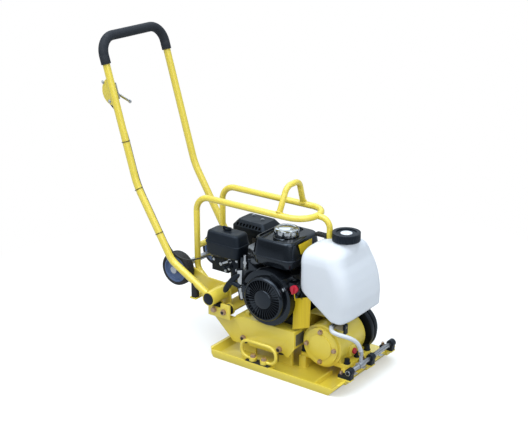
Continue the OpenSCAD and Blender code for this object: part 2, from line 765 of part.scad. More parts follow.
module crankcase() {
    web_r = 46;
    fin_n = 6;
    color(black) difference() {
        union() {
            soft_block(crank_x, 0, deck_z, 2 * foot_bolt_dx + 30, 2 * foot_bolt_dy + 34, engine_foot_t, 10);
            soft_block(crank_x, (engine_far - engine_near) / 2, deck_z + 2, 2 * block_half,
                engine_far + engine_near, crank_h + 70, 14);
            translate(dip_at) rotate([0, -60, 0]) translate([0, 0, -12]) cylinder(r = 11, h = dip_neck + 12);
            at_crank() rotate([0, cyl_tilt, 0]) {
                block([-140, -52, -48], [-40, 18, 48]);
            }
        }
        at_crank() rotate([0, cyl_tilt, 0]) for (i = [0:fin_n - 1]) {
            block([-136 + i * 10, -60, -60], [-131 + i * 10, -40, 60]);
            block([-136 + i * 10, 6, -60], [-131 + i * 10, 30, 60]);
        }
        y_cyl(crank_x, crank_z, crank_d / 2 + running, -engine_near - 1, engine_far + 1);
        y_cyl(crank_x, crank_z, web_r, -engine_near + 18, engine_far - 18);
        for (s = [-1, 1], k = [-1, 1])
            translate([crank_x + s * foot_bolt_dx, k * foot_bolt_dy, deck_z - 1])
                cylinder(d = 8 + 2 * bolt_play, h = engine_foot_t + 2);
    }
}

module cylinder_head() {
    color(steel) at_crank() rotate([0, cyl_tilt, 0]) {
        block([-168, -50, -46], [-140, 16, 46]);
        block([-184, -42, -36], [-167, 8, 36]);
        translate([-160, -50, 20]) rotate([90, 0, 0]) cylinder(r = 9, h = 6);
    }
}

module crankshaft() {
    flywheel_r = recoil_r + 4;
    color(steel) {
        y_cyl(crank_x, crank_z, crank_d / 2, -fan_y + 8, belt_y + belt_w / 2 + 9);
        y_cyl(crank_x, crank_z, 38, -engine_near + 38, engine_far - 40);
        y_cyl(crank_x, crank_z, flywheel_r, -fan_y + 12, -engine_near - 16);
    }
}

module clutch_drum() {
    color(steel) grooved_pulley(crank_x, crank_z, clutch_r, crank_d / 2 + running);
}

module drive_belt() {
    in = belt_t / 2;
    color(rubber) difference() {
        belt_run(clutch_r + in, exc_pulley_r + in, belt_y - belt_w / 2, belt_y + belt_w / 2);
        belt_run(clutch_r - in, exc_pulley_r - in, belt_y - belt_w / 2 - 1, belt_y + belt_w / 2 + 1);
    }
}

// Stepped belt guard on stand-offs from the crankcase
module belt_guard() {
    step = (guard_far - guard_near) / 3;
    post_r = 8;
    posts = [[crank_x - 55, crank_z + 20], [crank_x + 20, crank_z + 52]];
    color(black) difference() {
        union() {
            belt_run(guard_r, guard_r, guard_near, guard_near + step);
            belt_run(guard_r - 4, guard_r - 4, guard_near, guard_near + 2 * step);
            belt_run(guard_r, guard_r, guard_near + step + 5, guard_near + 2 * step);
            belt_run(guard_r - 9, guard_r - 9, guard_near, guard_far);
            for (p = posts) y_cyl(p[0], p[1], post_r, engine_far, guard_near + 1);
        }
        belt_run(guard_r - 9 - guard_t, guard_r - 9 - guard_t, guard_near + guard_t, guard_far - guard_t);
        y_cyl(crank_x, crank_z, crank_d / 2 + 6, guard_near - 1, guard_near + guard_t + 1);
        y_cyl(exc_x, exc_z, exc_shaft_d / 2 + 6, guard_near - 1, guard_near + guard_t + 1);
    }
}

// Fan cover with the air duct to the cylinder, switch box and throttle bracket
module fan_cover() {
    wall = 4;
    duct_top = 50;
    color(black) difference() {
        union() {
            y_cyl(crank_x, crank_z, fan_r, -fan_y, -engine_near);
            at_crank() rotate([0, cyl_tilt, 0])
                block([-132, -fan_y + 22, -30], [0, -engine_near - 2, duct_top]);
            block([crank_x + fan_r - 20, -fan_y + 14, crank_z + 32],
                [crank_x + fan_r + 8, -engine_near - 8, crank_z + 68]);
            block([crank_x + fan_r - 10, -fan_y + 14, crank_z + 34],
                [crank_x + fan_r + 22, -tank_half - 4, crank_z + 67]);
            block([crank_x - 120, -fan_y + 24, crank_z + 60], [crank_x - 82, -fan_y + 28, crank_z + 104]);
        }
        y_cyl(crank_x, crank_z, fan_r - wall, -fan_y + wall, -engine_near + 1);
        y_cyl(crank_x, crank_z, recoil_r - 12, -fan_y - 1, -fan_y + wall + 1);
        at_crank() rotate([0, cyl_tilt, 0])
            block([-132 + wall, -fan_y + 22 + wall, -30 + wall], [-20, -engine_near + 3, duct_top - wall]);
        y_cyl(crank_x - 97, crank_z + 92, 4 + running, -fan_y + 20, -fan_y + 30);
    }
}

module recoil_cover() {
    wall = 4;
    color(black) difference() {
        union() {
            y_cyl(crank_x, crank_z, recoil_r - 6, -recoil_y, -fan_y);
            y_cyl(crank_x, crank_z, recoil_r, -recoil_y + 6, -fan_y);
            block([crank_x - recoil_r - 12, -recoil_y + 6, crank_z + 2],
                [crank_x - 50, -fan_y, crank_z + 30]);
        }
        y_cyl(crank_x, crank_z, recoil_r - 6 - wall, -recoil_y + wall, -fan_y + 1);
    }
}

// Curved pull grip of the recoil starter
grip_at = [crank_x - 132, -recoil_y + 15, crank_z + 26];
module starter_grip() {
    bar_r = 9;
    reach = 44;
    lean = 53;
    color(black) translate(grip_at) rotate([0, -lean, 0]) {
        rod([-reach, 0, 0], [reach, 0, 0], 2 * bar_r);
        for (s = [-1, 1]) translate([s * reach, 0, 0]) sphere(r = bar_r);
        rotate([0, lean, 0]) rod([0, 0, 0], [24, 4, -6], 12);
    }
}

// Fuel tank of two pressed halves with a seam flange and filler neck
module fuel_tank() {
    wall = 3;
    flange = 4;
    neck = fuel_cap_r - 16;
    color(black) difference() {
        union() {
            soft_block(fuel_x, fuel_y, fuel_z - fuel_low_h, fuel_l - 2 * flange, fuel_w - 2 * flange,
                fuel_low_h, 26);
            soft_block(fuel_x, fuel_y, fuel_z - 2, fuel_l, fuel_w, 4, 28);
            soft_block(fuel_x, fuel_y, fuel_z, fuel_l - 2 * flange, fuel_w - 2 * flange, fuel_h - 8, 26);
            soft_block(fuel_x, fuel_y, fuel_z, fuel_l - 6 * flange, fuel_w - 6 * flange, fuel_h, 22);
            translate([fuel_cap_x, fuel_cap_y, fuel_z + fuel_h - wall]) cylinder(r = neck, h = wall + 6);
            for (s = [-1, 1]) translate([fuel_x + 6 + s * 36, fuel_y + 13, fuel_z - fuel_low_h - 22])
                cylinder(r = 9, h = 24);
        }
        soft_block(fuel_x, fuel_y, fuel_z - fuel_low_h + wall, fuel_l - 8 * flange, fuel_w - 8 * flange,
            fuel_low_h + fuel_h - 2 * wall, 20);
        translate([fuel_cap_x, fuel_cap_y, fuel_z + fuel_h - 2 * wall])
            cylinder(r = neck - wall, h = 4 * wall);
    }
}

module fuel_cap() {
    notch_n = 12;
    seat = fuel_z + fuel_h + 0.5;
    color(steel) translate([fuel_cap_x, fuel_cap_y, seat]) difference() {
        union() {
            cylinder(r = fuel_cap_r, h = 24);
            cylinder(r = fuel_cap_r - 5, h = 30);
        }
        translate([0, 0, -1]) cylinder(r = fuel_cap_r - 16 + play, h = 7.5);
        for (i = [0:notch_n - 1]) rotate(360 / notch_n * i) translate([fuel_cap_r + 3, 0, 4])
            cylinder(r = 6, h = 30);
    }
}

// Air cleaner, carburettor and their levers

module air_cleaner_base() {
    color(black) difference() {
        union() {
            soft_block(air_x, air_y, air_z - air_low_h, air_l - 4, air_w - 4, air_low_h, 14);
            block([air_x - 25, air_y - 6, air_z - air_low_h - 14],
                [air_x - 11, air_y + 4, air_z - air_low_h + 1]);
        }
        soft_block(air_x, air_y, air_z - air_low_h + 4, air_l - 12, air_w - 12, air_low_h, 10);
    }
}

module air_cleaner_cover() {
    color(black) difference() {
        union() {
            soft_block(air_x, air_y, air_z, air_l, air_w, air_h - 6, 16);
            soft_block(air_x, air_y, air_z, air_l - 12, air_w - 12, air_h, 12);
        }
        soft_block(air_x, air_y, air_z - 1, air_l - 8, air_w - 8, air_h - 8, 12);
        translate([air_x, air_y, air_z]) cylinder(r = 4, h = air_h + 1);
    }
}

module air_cleaner_nut() {
    top = air_z + air_h;
    color(black) translate([air_x, air_y, top + play]) {
        cylinder(r = 8, h = 9);
        block([-16, -2.5, 2], [16, 2.5, 13]);
        translate([0, 0, -20]) cylinder(r = 3.5, h = 21);
    }
}

carb = [-196, -86, deck_z + 166];
module carburettor() {
    color("#8f9196") {
        block([carb[0] - 22, carb[1] - 18, carb[2] - 22], [carb[0] + 22, carb[1] + 16, carb[2] + 25.5]);
        translate([carb[0], carb[1], carb[2] - 48]) cylinder(r = 19, h = 28);
        block([carb[0] - 88, carb[1] - 17, carb[2] - 34], [carb[0] - 21, carb[1] + 10, carb[2] + 11]);
        block([carb[0] - 8, carb[1] + 12, carb[2] - 14], [carb[0] + 30, -52, carb[2] + 14]);
        for (p = [[-10, 14], [-8, -6]])
            translate([carb[0] + p[0], carb[1] - 17, carb[2] + p[1]])
                rotate([90, 0, 0]) cylinder(r = 4, h = 12);
    }
}

// Flat lever turning on a stub of the carburettor
module small_lever(x, y, z, length, angle) {
    translate([x, y, z]) rotate([90, 0, 0]) rotate(angle) difference() {
        union() {
            cylinder(r = 7, h = 4);
            block([0, -3.5, 0], [length, 3.5, 4]);
            translate([length, 0, 0]) cylinder(r = 6, h = 7);
        }
        translate([0, 0, -1]) cylinder(r = 4 + running, h = 6);
    }
}

module choke_lever() {
    color(steel) small_lever(carb[0] - 10, carb[1] - 19, carb[2] + 14, 40, 206);
}

module fuel_lever() {
    color(black) small_lever(carb[0] - 8, carb[1] - 19, carb[2] - 6, 26, 200);
}

control_at = [crank_x - 97, -fan_y + 20, crank_z + 92];
module control_lever() {
    color(steel) translate(control_at) rotate([90, 0, 0]) {
        cylinder(r = 7, h = 4);
        block([-4, 0, 0], [4, 26, 4]);
        block([-4, -26, 0], [4, 0, 4]);
        translate([0, 0, -9]) cylinder(r = 4, h = 10);
    }
}

switch_at = [crank_x + fan_r + 8, -fan_y + 14, crank_z + 52];
module engine_switch() {
    color("#c0283a") translate(switch_at) rotate([90, 0, 0]) {
        translate([0, 0, play]) cylinder(r = 13, h = 10);
        block([-3, -13, 9], [3, 13, 17]);
    }
}

module oil_dipstick() {
    color("#8a8d90") translate(dip_at) rotate([0, -60, 0]) {
        translate([0, 0, dip_neck + play]) cylinder(r = 13, h = 8);
        translate([0, 0, dip_neck + 7]) cylinder(r = 16, h = 9, $fn = 8);
    }
}

// Muffler with its slotted heat guard
muf = [-228, 72, deck_z + 222];
muf_l = 122;
muf_w = 92;
muf_gap = 5;
muf_sheet = 4;
module muffler() {
    color("#4a4d52") {
        soft_block(muf[0], muf[1], muf[2] - 42, muf_l, muf_w, 66, 18);
        translate([muf[0] + 40, 20, muf[2] - 20]) rotate([-90, 0, 0]) cylinder(r = 15, h = 16);
        block([muf[0] + 20, 17, muf[2] - 44], [muf[0] + 54, 30, muf[2]]);
    }
}

module muffler_guard() {
    slot_n = 8;
    slope_h = 20;
    out_l = muf_l + 2 * (muf_gap + muf_sheet);
    out_w = muf_w + 4 + 2 * muf_sheet;
    in_l = out_l - 2 * muf_sheet;
    in_w = out_w - 2 * muf_sheet;
    color(black) difference() {
        guard_form(out_l, out_w, muf[2] - 20, 48, slope_h);
        guard_form(in_l, in_w, muf[2] - 21, 46, slope_h - 1);
        for (i = [0:slot_n - 1]) block([muf[0] - 50 + i * 13, muf[1] - 60, muf[2] + 30],
            [muf[0] - 43 + i * 13, muf[1] - 34, muf[2] + 39]);
        block([muf[0] + 16, -4, muf[2] - 46], [muf[0] + 58, 38, muf[2] + 4]);
    }
}

// Box with a top drawn in on all four sides
module guard_form(length, width, low, wall_h, slope_h) {
    hull() {
        soft_block(muf[0], muf[1], low, length, width, wall_h, 16);
        soft_block(muf[0], muf[1], low, length * 0.76, width * 0.7, wall_h + slope_h, 10);
    }
}

// Tube cage: one bent tube from the near foot over both rails to the far foot
rail_front = front_post_x - 48;
post_bend = 33;
strut_d = cage_d - 1.5;
near_rail = [[-318, -rail_y, 202], [-post_back, -rail_y, 252], [-post_back, -rail_y, rail_z],
    [rail_front, -rail_y, rail_z]];
module cage_rails() {
    color(yellow) bent_rod(concat(near_rail, reversed([for (p = near_rail) both(p)])),
        [0, 40, 52, rail_y - 3, rail_y - 3, 52, 40, 0], cage_d, tube_wall);
}

module lifting_hoop() {
    color(yellow) difference() {
        bent_rod([[-hoop_back, -rail_y, rail_z], [-hoop_back + 6, -34, hoop_z], [-hoop_back + 6, 34, hoop_z],
            [-hoop_back, rail_y, rail_z]], [0, 34, 34, 0], strut_d);
        mirrored() rod([-hoop_back - 40, rail_y, rail_z], [-hoop_back + 40, rail_y, rail_z], cage_d);
    }
}

// Cross tube between the rear posts and the single front post with its foot on the deck
module cage_struts() {
    shoe_half = 34;
    shoe_t = 5;
    shoe_top = max(deck_z + 34, exc_z + exc_r + shoe_t + 3);
    color(yellow) {
        difference() {
            rod([-post_back, -rail_y, 332], [-post_back, rail_y, 332], strut_d);
            mirrored() rod([-post_back, rail_y, 290], [-post_back, rail_y, 380], cage_d);
        }
        difference() {
            bent_rod([[front_post_x, 0, shoe_top - 2], [front_post_x, 0, rail_z - 4],
                [rail_front, 0, rail_z]], [0, post_bend, 0], strut_d);
            y_cyl(rail_front, rail_z, cage_d / 2, -30, 30);
        }
        block([deck_front, -shoe_half, deck_z - 34], [deck_front + shoe_t, shoe_half, shoe_top]);
        block([deck_front, -shoe_half, shoe_top - shoe_t], [front_post_x + 16, shoe_half, shoe_top]);
    }
}

// Handle carrier: side plates from the isolators past the pivot to the wheel axle
module carrier_plate() {
    hub = 22;
    front = pivot_x + pivot_d / 2 + 4;
    low = bush_z - 9;
    difference() {
        union() {
            across(plate_in_y, plate_out_y) polygon([[front, low], [front, pivot_z + 6],
                [pivot_x + 8, pivot_z + 31], [pivot_x - 70, pivot_z + 33], [axle_x, axle_z + hub],
                [axle_x, axle_z - hub], [pivot_x - 74, pivot_z - 30], [pivot_x - 16, low]]);
            y_cyl(axle_x, axle_z, hub, plate_in_y, plate_out_y);
        }
        y_cyl(pivot_x, pivot_z, pivot_d / 2 + running, plate_in_y - 1, plate_out_y + 1);
        y_cyl(axle_x, axle_z, axle_d / 2, plate_in_y - 1, plate_out_y + 1);
    }
}

stop_x = pivot_x - 69;
stop_arm_z = pivot_z - 18;
module handle_carrier() {
    lug_r = bush_d / 2 + 2;
    color(yellow) {
        mirrored() carrier_plate();
        mirrored() difference() {
            union() {
                for (x = bush_xs) y_cyl(x, bush_z, lug_r, lug_y, lug_y + carrier_t);
                block([bush_xs[0], lug_y, bush_z - lug_r], [bush_xs[1], lug_y + carrier_t, bush_z + 6]);
            }
            y_cyl(pivot_x, pivot_z, pivot_d / 2 + 1.5, lug_y - 1, lug_y + carrier_t + 1);
        }
        block([bush_xs[0] - 10, -lug_y - 1, bush_z - 9], [bush_xs[1] + 12, lug_y + 1, bush_z - 3]);
        mirrored() block([stop_x - 13, plate_out_y - 1, stop_arm_z],
            [stop_x + 13, leg_y + 14, stop_arm_z + 5]);
    }
}

module handle_buffers() {
    color(rubber) mirrored() difference() {
        translate([stop_x, leg_y, stop_arm_z + 5]) cylinder(d = 26, h = 60);
        translate([pivot_x, leg_y, pivot_z]) rotate([0, leg_slope, 0]) {
            block([-150, -30, 0], [0, 30, 90]);
            rod([-150, 0, 0], [0, 0, 0], handle_d + 2 * play);
        }
    }
}

// Wheels on a fixed axle
module wheel_axle() {
    cap_r = 13;
    difference() {
        union() {
            color(steel) y_cyl(axle_x, axle_z, axle_d / 2, -wheel_out_y - 6, wheel_out_y + 6);
            color(yellow) y_cyl(axle_x, axle_z, cage_d / 2, -plate_in_y, plate_in_y);
            color(steel) mirrored() y_cyl(axle_x, axle_z, cap_r, wheel_out_y + 1, wheel_out_y + 6);
        }
    }
}

module hub() {
    rim = wheel_d / 2 - tyre_t;
    bore_r = axle_d / 2 + running;
    translate([axle_x, wheel_out_y, axle_z]) rotate([90, 0, 0]) rotate_extrude()
        polygon([[bore_r, 0], [bore_r + 8, 0], [bore_r + 9, 8], [rim - 9, 10], [rim - 5, 2], [rim, 2],
            [rim, wheel_w - 2], [rim - 5, wheel_w - 2], [rim - 9, wheel_w - 10], [bore_r + 9, wheel_w - 8],
            [bore_r + 8, wheel_w], [bore_r, wheel_w]]);
}

module tyre() {
    rim = wheel_d / 2 - tyre_t;
    out = wheel_d / 2;
    groove = 3;
    translate([axle_x, wheel_out_y, axle_z]) rotate([90, 0, 0]) rotate_extrude()
        polygon([[rim, 2], [out - 7, 0], [out - 2, 5], [out, wheel_w / 2 - groove], [out - 3, wheel_w / 2],
            [out, wheel_w / 2 + groove], [out - 2, wheel_w - 5], [out - 7, wheel_w], [rim, wheel_w - 2]]);
}

module hub_near() {
    color("#5a6e92") mirror([0, 1, 0]) hub();
}

module tyre_near() {
    color(rubber) mirror([0, 1, 0]) tyre();
}

module hub_far() {
    color("#5a6e92") hub();
}

module tyre_far() {
    color(rubber) tyre();
}

// Folding handle
near_leg = [[pivot_x, -leg_y, pivot_z], [-bend_back, -leg_y, bend_z], [-knee_back, -leg_y, knee_z],
    [-top_back, -leg_y, top_z]];
handle_points = concat(near_leg, reversed([for (p = near_leg) both(p)]));
handle_radii = [0, 80, 250, corner_r, corner_r, 250, 80, 0];

module handle_tube() {
    color(yellow) difference() {
        bent_rod(handle_points, handle_radii, handle_d, tube_wall);
        y_cyl(pivot_x, pivot_z, pivot_d / 2, -pivot_half - 1, pivot_half + 1);
    }
}

module pivot_tube() {
    wall = 4;
    color(yellow) difference() {
        y_cyl(pivot_x, pivot_z, pivot_d / 2, -pivot_half, pivot_half);
        y_cyl(pivot_x, pivot_z, pivot_d / 2 - wall, -pivot_half - 1, pivot_half + 1);
    }
}

module pivot_caps() {
    plug_r = pivot_d / 2 - 4;
    color(black) mirrored() {
        y_cyl(pivot_x, pivot_z, plug_r, pivot_half - 14, pivot_half + 2);
    }
}

grip_low = [-top_back, top_z] - upper_dir * grip_drop;
module handle_grip() {
    path = [[grip_low[0], -leg_y, grip_low[1]], [-top_back, -leg_y, top_z], [-top_back, leg_y, top_z],
        [grip_low[0], leg_y, grip_low[1]]];
    radii = [0, corner_r, corner_r, 0];
    color(black) bent_rod(path, radii, grip_d, (grip_d - handle_d) / 2);
}

// Half-round throttle plate on the near leg with its lever
module throttle_plate() {
    plate_r = 48;
    leg_lean = atan2(upper_dir[0], upper_dir[1]);
    boss = 8;
    color(yellow) difference() {
        union() {
            translate([plate_spot[0], 0, plate_spot[1]]) rotate([0, leg_lean, 0]) intersection() {
                y_cyl(0, 0, plate_r, -leg_y - 1.5, -leg_y + 1.5);
                block([-plate_r, -leg_y - 2, -plate_r], [0, -leg_y + 2, plate_r]);
            }
            y_cyl(lever_pivot[0], lever_pivot[1], boss, -leg_y, lever_y - play);
        }
        rod(near_leg[2], near_leg[3], handle_d);
    }
}

module throttle_lever() {
    lever_l = 88;
    lever_t = 4;
    droop = 19;
    color(steel) translate([lever_pivot[0], lever_y + lever_t, lever_pivot[1]])
        rotate([90, 0, 0]) rotate(-droop) {
        cylinder(r = 12, h = lever_t);
        block([0, -4, 0], [lever_l, 4, lever_t]);
        translate([lever_l, 0, 0]) cylinder(r = 6, h = lever_t);
    }
}

module throttle_cable() {
    color(rubber) swept(cable_route, cable_d, 8);
}

module cable_span() {
    color(rubber) swept(span_route, cable_d, 8);
}

// Moulded water tank: side, front and plan outlines cut against each other
module tank_side(inset) {
    i = inset;
    r = tank_rear + i;
    n = tank_nose - i;
    b = tank_base;
    top = neck_z - i;
    polygon([[r, b + 106 + i * 0.6], [n - 47 + i, b + 16 + i * 1.3], [n - 21 + i, b + 9 + i],
        [n - 3, b + 26 + i * 0.6], [n, b + 62], [n - 10, neck_z - 111], [n - 29, neck_z - 54],
        [n - 37, top - 18], [n - 51, top + 2], [r + 36 - i, top + 4], [r + 12, top - 6], [r, top - 22]]);
}

module tank_front(inset) {
    half = tank_half - inset;
    top = neck_z + 4 - inset;
    polygon(concat([[-half, tank_base + inset], [half, tank_base + inset]],
        arc([half - tank_shoulder, top - tank_shoulder], tank_shoulder, 0, 70),
        arc([tank_shoulder - half, top - tank_shoulder], tank_shoulder, 110, 180)));
}

module tank_form(inset) {
    intersection() {
        across(-tank_half, tank_half) tank_side(inset);
        translate([tank_rear - 16, 0, 0]) rotate([90, 0, 90]) linear_extrude(tank_nose - tank_rear + 33)
            tank_front(inset);
        translate([(tank_rear + tank_nose) / 2 + 0.5, 0, tank_base - 10])
            linear_extrude(neck_z - tank_base + 34)
            polygon(round_rect(tank_nose - tank_rear + 1 - 2 * inset, 2 * (tank_half - inset), 30));
    }
}

module water_tank() {
    groove = cage_d / 2 + 1.5;
    drain_r = 7;
    color("#dde3ec") difference() {
        union() {
            difference() {
                union() {
                    tank_form(0);
                    translate([cap_x, 0, neck_z - 10]) cylinder(r = neck_r, h = 26);
                }
                tank_form(tank_wall);
            }
            intersection() {
                tank_form(0);
                block([tank_rear - 6, -groove - tank_wall, tank_base],
                    [front_post_x + groove + tank_wall, groove + tank_wall, neck_z + 14]);
            }
        }
        block([tank_rear - 16, -groove, tank_base - 10], [front_post_x, groove, neck_z + 24]);
        translate([front_post_x, 0, tank_base - 10]) cylinder(r = groove, h = neck_z - tank_base + 64);
        translate([cap_x, 0, neck_z - 12]) cylinder(r = neck_r - tank_wall, h = 30);
        translate([tap_x, tap_y, tank_base]) cylinder(r = drain_r, h = 40);
    }
}

module tank_cap() {
    rib_n = 30;
    seat = neck_z + 6;
    color(black) translate([cap_x, 0, seat]) difference() {
        cylinder(r = cap_r, h = cap_h);
        translate([0, 0, -1]) cylinder(r = neck_r + play, h = 12);
        translate([0, 0, cap_h - 4]) cylinder(r = cap_r - 12, h = 5);
        for (i = [0:rib_n - 1]) rotate(360 / rib_n * i) translate([cap_r + 1.2, 0, 4])
            cylinder(r = 2.6, h = cap_h - 9);
    }
}

// Tap under the tank, its lever, the hose and the sprinkler bar
module water_tap() {
    spigot_r = 6.7;
    color("#9a8a60") {
        translate([tap_x, tap_y, tap_z]) cylinder(r = spigot_r, h = tank_base + 28 - tap_z);
        block([tap_x - 10, tap_y - 10, tap_z - 10], [tap_x + 34, tap_y + 10, tap_z + 10]);
        y_cyl(tap_x, tap_z, hose_d / 2 - 1, tap_y - 16, tap_y - 9);
        translate([tap_x + 33, tap_y, tap_z]) rotate([0, 90, 0]) cylinder(r = 4, h = 9);
    }
}

module tap_lever() {
    color(black) translate([tap_x + 34 + play, tap_y, tap_z]) difference() {
        block([0, -8, -22], [7, 8, 10]);
        translate([-1, 0, 0]) rotate([0, 90, 0]) cylinder(r = 4 + running, h = 9);
    }
}

module water_hose() {
    color("#e6e8ea") swept(hose_route, hose_d, 10);
}

module bar_clamp(y) {
    half = 10;
    collar = bar_d / 2 + 4.5;
    difference() {
        union() {
            y_cyl(bar_x, bar_z, collar, y - half, y + half);
            block([tab_rear, y - half, bracket_top], [bar_x, y + half, bracket_top + 10]);
            block([bar_x - collar + 2, y - half, bracket_top], [bar_x + collar - 4, y + half, bar_z]);
        }
        y_cyl(bar_x, bar_z, bar_d / 2, y - half - 1, y + half + 1);
        translate([tab_bolt_x, y, bracket_top - 1]) cylinder(d = 6 + 2 * bolt_play, h = 12);
    }
}

module bar_clamps() {
    color(black) for (y = clamp_ys) bar_clamp(y);
}

module sprinkler_bar() {
    bar_half = plate_w / 2 - 34;
    spray_n = 18;
    tee = hose_route[len(hose_route) - 1];
    color(steel) difference() {
        union() {
            y_cyl(bar_x, bar_z, bar_d / 2, -bar_half, bar_half);
            y_cyl(bar_x, bar_z, bar_d / 2 + 3, tee[1] - 15, tee[1] + 15);
            rod([bar_x, tee[1], bar_z], tee, hose_d - 2);
        }
        y_cyl(bar_x, bar_z, bar_d / 2 - 2, -bar_half + 3, bar_half - 3);
        for (i = [0:spray_n - 1])
            translate([bar_x, (i + 0.5 - spray_n / 2) * 2 * (bar_half - 30) / spray_n, bar_z])
            rotate([0, 125, 0]) cylinder(d = 2.5, h = 40, $fn = 16);
    }
}

base_plate();
side_loops();
rubber_isolators();
frame_bolts();
exciter_housing();
exciter_end_cover();
exciter_pulley_cover();
exciter_bearings();
exciter_shaft();
exciter_pulley();
exciter_mount_bolts();
exciter_oil_plug();
engine_deck();
crankcase();
cylinder_head();
crankshaft();
clutch_drum();
drive_belt();
belt_guard();
fan_cover();
recoil_cover();
starter_grip();
fuel_tank();
fuel_cap();
air_cleaner_base();
air_cleaner_cover();
air_cleaner_nut();
carburettor();
choke_lever();
fuel_lever();
control_lever();
engine_switch();
oil_dipstick();
muffler();
muffler_guard();
cage_rails();
lifting_hoop();
cage_struts();
handle_carrier();
handle_buffers();
wheel_axle();
hub_near();
tyre_near();
hub_far();
tyre_far();
handle_tube();
pivot_tube();
pivot_caps();
handle_grip();
throttle_plate();
throttle_lever();
throttle_cable();
cable_span();
water_tank();
tank_cap();
water_tap();
tap_lever();
water_hose();
sprinkler_bar();
bar_clamps();
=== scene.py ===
import json
import math
import bpy
from mathutils import Matrix, Vector

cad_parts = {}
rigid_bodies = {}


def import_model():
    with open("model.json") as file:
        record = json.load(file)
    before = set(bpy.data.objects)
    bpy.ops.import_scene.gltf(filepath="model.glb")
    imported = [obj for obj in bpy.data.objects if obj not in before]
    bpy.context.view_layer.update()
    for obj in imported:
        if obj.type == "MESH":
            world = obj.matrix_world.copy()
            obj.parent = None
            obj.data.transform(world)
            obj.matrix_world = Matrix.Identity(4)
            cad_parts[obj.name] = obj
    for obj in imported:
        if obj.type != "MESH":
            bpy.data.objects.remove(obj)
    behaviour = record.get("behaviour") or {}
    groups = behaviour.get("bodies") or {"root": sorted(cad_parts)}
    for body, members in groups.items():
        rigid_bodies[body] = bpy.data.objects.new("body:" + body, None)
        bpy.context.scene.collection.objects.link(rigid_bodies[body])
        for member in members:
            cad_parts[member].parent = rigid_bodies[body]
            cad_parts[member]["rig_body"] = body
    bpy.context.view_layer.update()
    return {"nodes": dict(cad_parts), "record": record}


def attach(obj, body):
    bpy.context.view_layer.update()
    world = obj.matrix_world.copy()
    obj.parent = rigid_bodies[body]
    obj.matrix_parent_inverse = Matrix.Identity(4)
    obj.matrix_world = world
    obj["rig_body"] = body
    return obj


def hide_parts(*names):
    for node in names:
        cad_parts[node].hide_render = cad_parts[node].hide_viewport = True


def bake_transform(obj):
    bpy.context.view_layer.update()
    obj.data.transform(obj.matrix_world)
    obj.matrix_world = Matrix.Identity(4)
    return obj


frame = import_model()
nodes = frame["nodes"]
scene = bpy.context.scene
print("frame loaded with", len(nodes), "CAD nodes")


def toLinear(hexCode):
    parts = [int(hexCode[i:i + 2], 16) / 255 for i in (1, 3, 5)]
    return tuple(c / 12.92 if c <= 0.04045 else ((c + 0.055) / 1.055) ** 2.4 for c in parts) + (1.0,)


def addNode(tree, kind, settings=None, **inputs):  # an input is a value or a socket to link from
    made = tree.nodes.new(kind)
    for key, value in (settings or {}).items():
        setattr(made, key, value)
    for key, value in inputs.items():
        socket = made.inputs[int(key[1:])] if key[1:].isdigit() else made.inputs[key.replace("_", " ")]
        if isinstance(value, bpy.types.NodeSocket):
            tree.links.new(value, socket)
        else:
            socket.default_value = value
    return made


# camera at the photograph's angle: yaw 36, pitch 19.7 degrees, frame 528 x 432
view = {"place": (1.960, -2.899, 1.749), "back": (0.5534, -0.7617, 0.3371), "lens": 79.23, "sensor": 36.0}
cameraData = bpy.data.cameras.new("photo_camera")
cameraData.lens = view["lens"]
cameraData.sensor_width = view["sensor"]
camera = bpy.data.objects.new("photo_camera", cameraData)
camera.location = view["place"]
camera.rotation_mode = "QUATERNION"
camera.rotation_quaternion = (-Vector(view["back"])).to_track_quat("-Z", "Y")
scene.collection.objects.link(camera)
scene.camera = camera

# soft studio light: four big lamps and a pale world
scene.view_settings.view_transform = "Standard"
lamps = {
    "key_lamp": {"place": (-1.0, -2.6, 4.4), "size": 3.2, "watts": 84, "tint": (1.0, 0.985, 0.96)},
    "fill_lamp": {"place": (3.3, -2.0, 2.6), "size": 3.0, "watts": 52, "tint": (1.0, 0.985, 0.96)},
    "top_lamp": {"place": (0.2, -0.6, 4.6), "size": 3.6, "watts": 98, "tint": (0.84, 0.92, 1.0)},
    "rear_lamp": {"place": (-2.9, 2.6, 3.6), "size": 2.6, "watts": 32, "tint": (0.82, 0.91, 1.0)},
}
lampAim = Vector((-0.2, 0, 0.3))
for lampName, lamp in lamps.items():
    lampData = bpy.data.lights.new(lampName, "AREA")
    lampData.size = lamp["size"]
    lampData.energy = lamp["watts"]
    lampData.color = lamp["tint"]
    lampObject = bpy.data.objects.new(lampName, lampData)
    lampObject.location = lamp["place"]
    lampObject.rotation_euler = (lampAim - Vector(lamp["place"])).to_track_quat("-Z", "Y").to_euler()
    scene.collection.objects.link(lampObject)

# the world lights the part from above and shows plain white behind it
sky = {"colour": (0.84, 0.925, 1, 1), "low": -0.05, "lowGlow": 0.16, "high": 0.8, "highGlow": 1.34}
world = bpy.data.worlds.new("pale_room")
scene.world = world
world.use_nodes = True
worldTree = world.node_tree
worldTree.nodes.clear()
path = addNode(worldTree, "ShaderNodeLightPath")
seen = addNode(worldTree, "ShaderNodeMath", {"operation": "MAXIMUM"}, i0=path.outputs["Is Camera Ray"],
               i1=path.outputs["Is Transmission Ray"])
direction = addNode(worldTree, "ShaderNodeTexCoord")
height = addNode(worldTree, "ShaderNodeSeparateXYZ", i0=direction.outputs["Generated"])
skyGlow = addNode(worldTree, "ShaderNodeMapRange", i0=height.outputs["Z"], i1=sky["low"], i2=sky["high"],
                  i3=sky["lowGlow"], i4=sky["highGlow"])
room = addNode(worldTree, "ShaderNodeBackground", Color=sky["colour"], Strength=skyGlow.outputs[0])
backdrop = addNode(worldTree, "ShaderNodeBackground", Color=(1, 1, 1, 1), Strength=1.0)
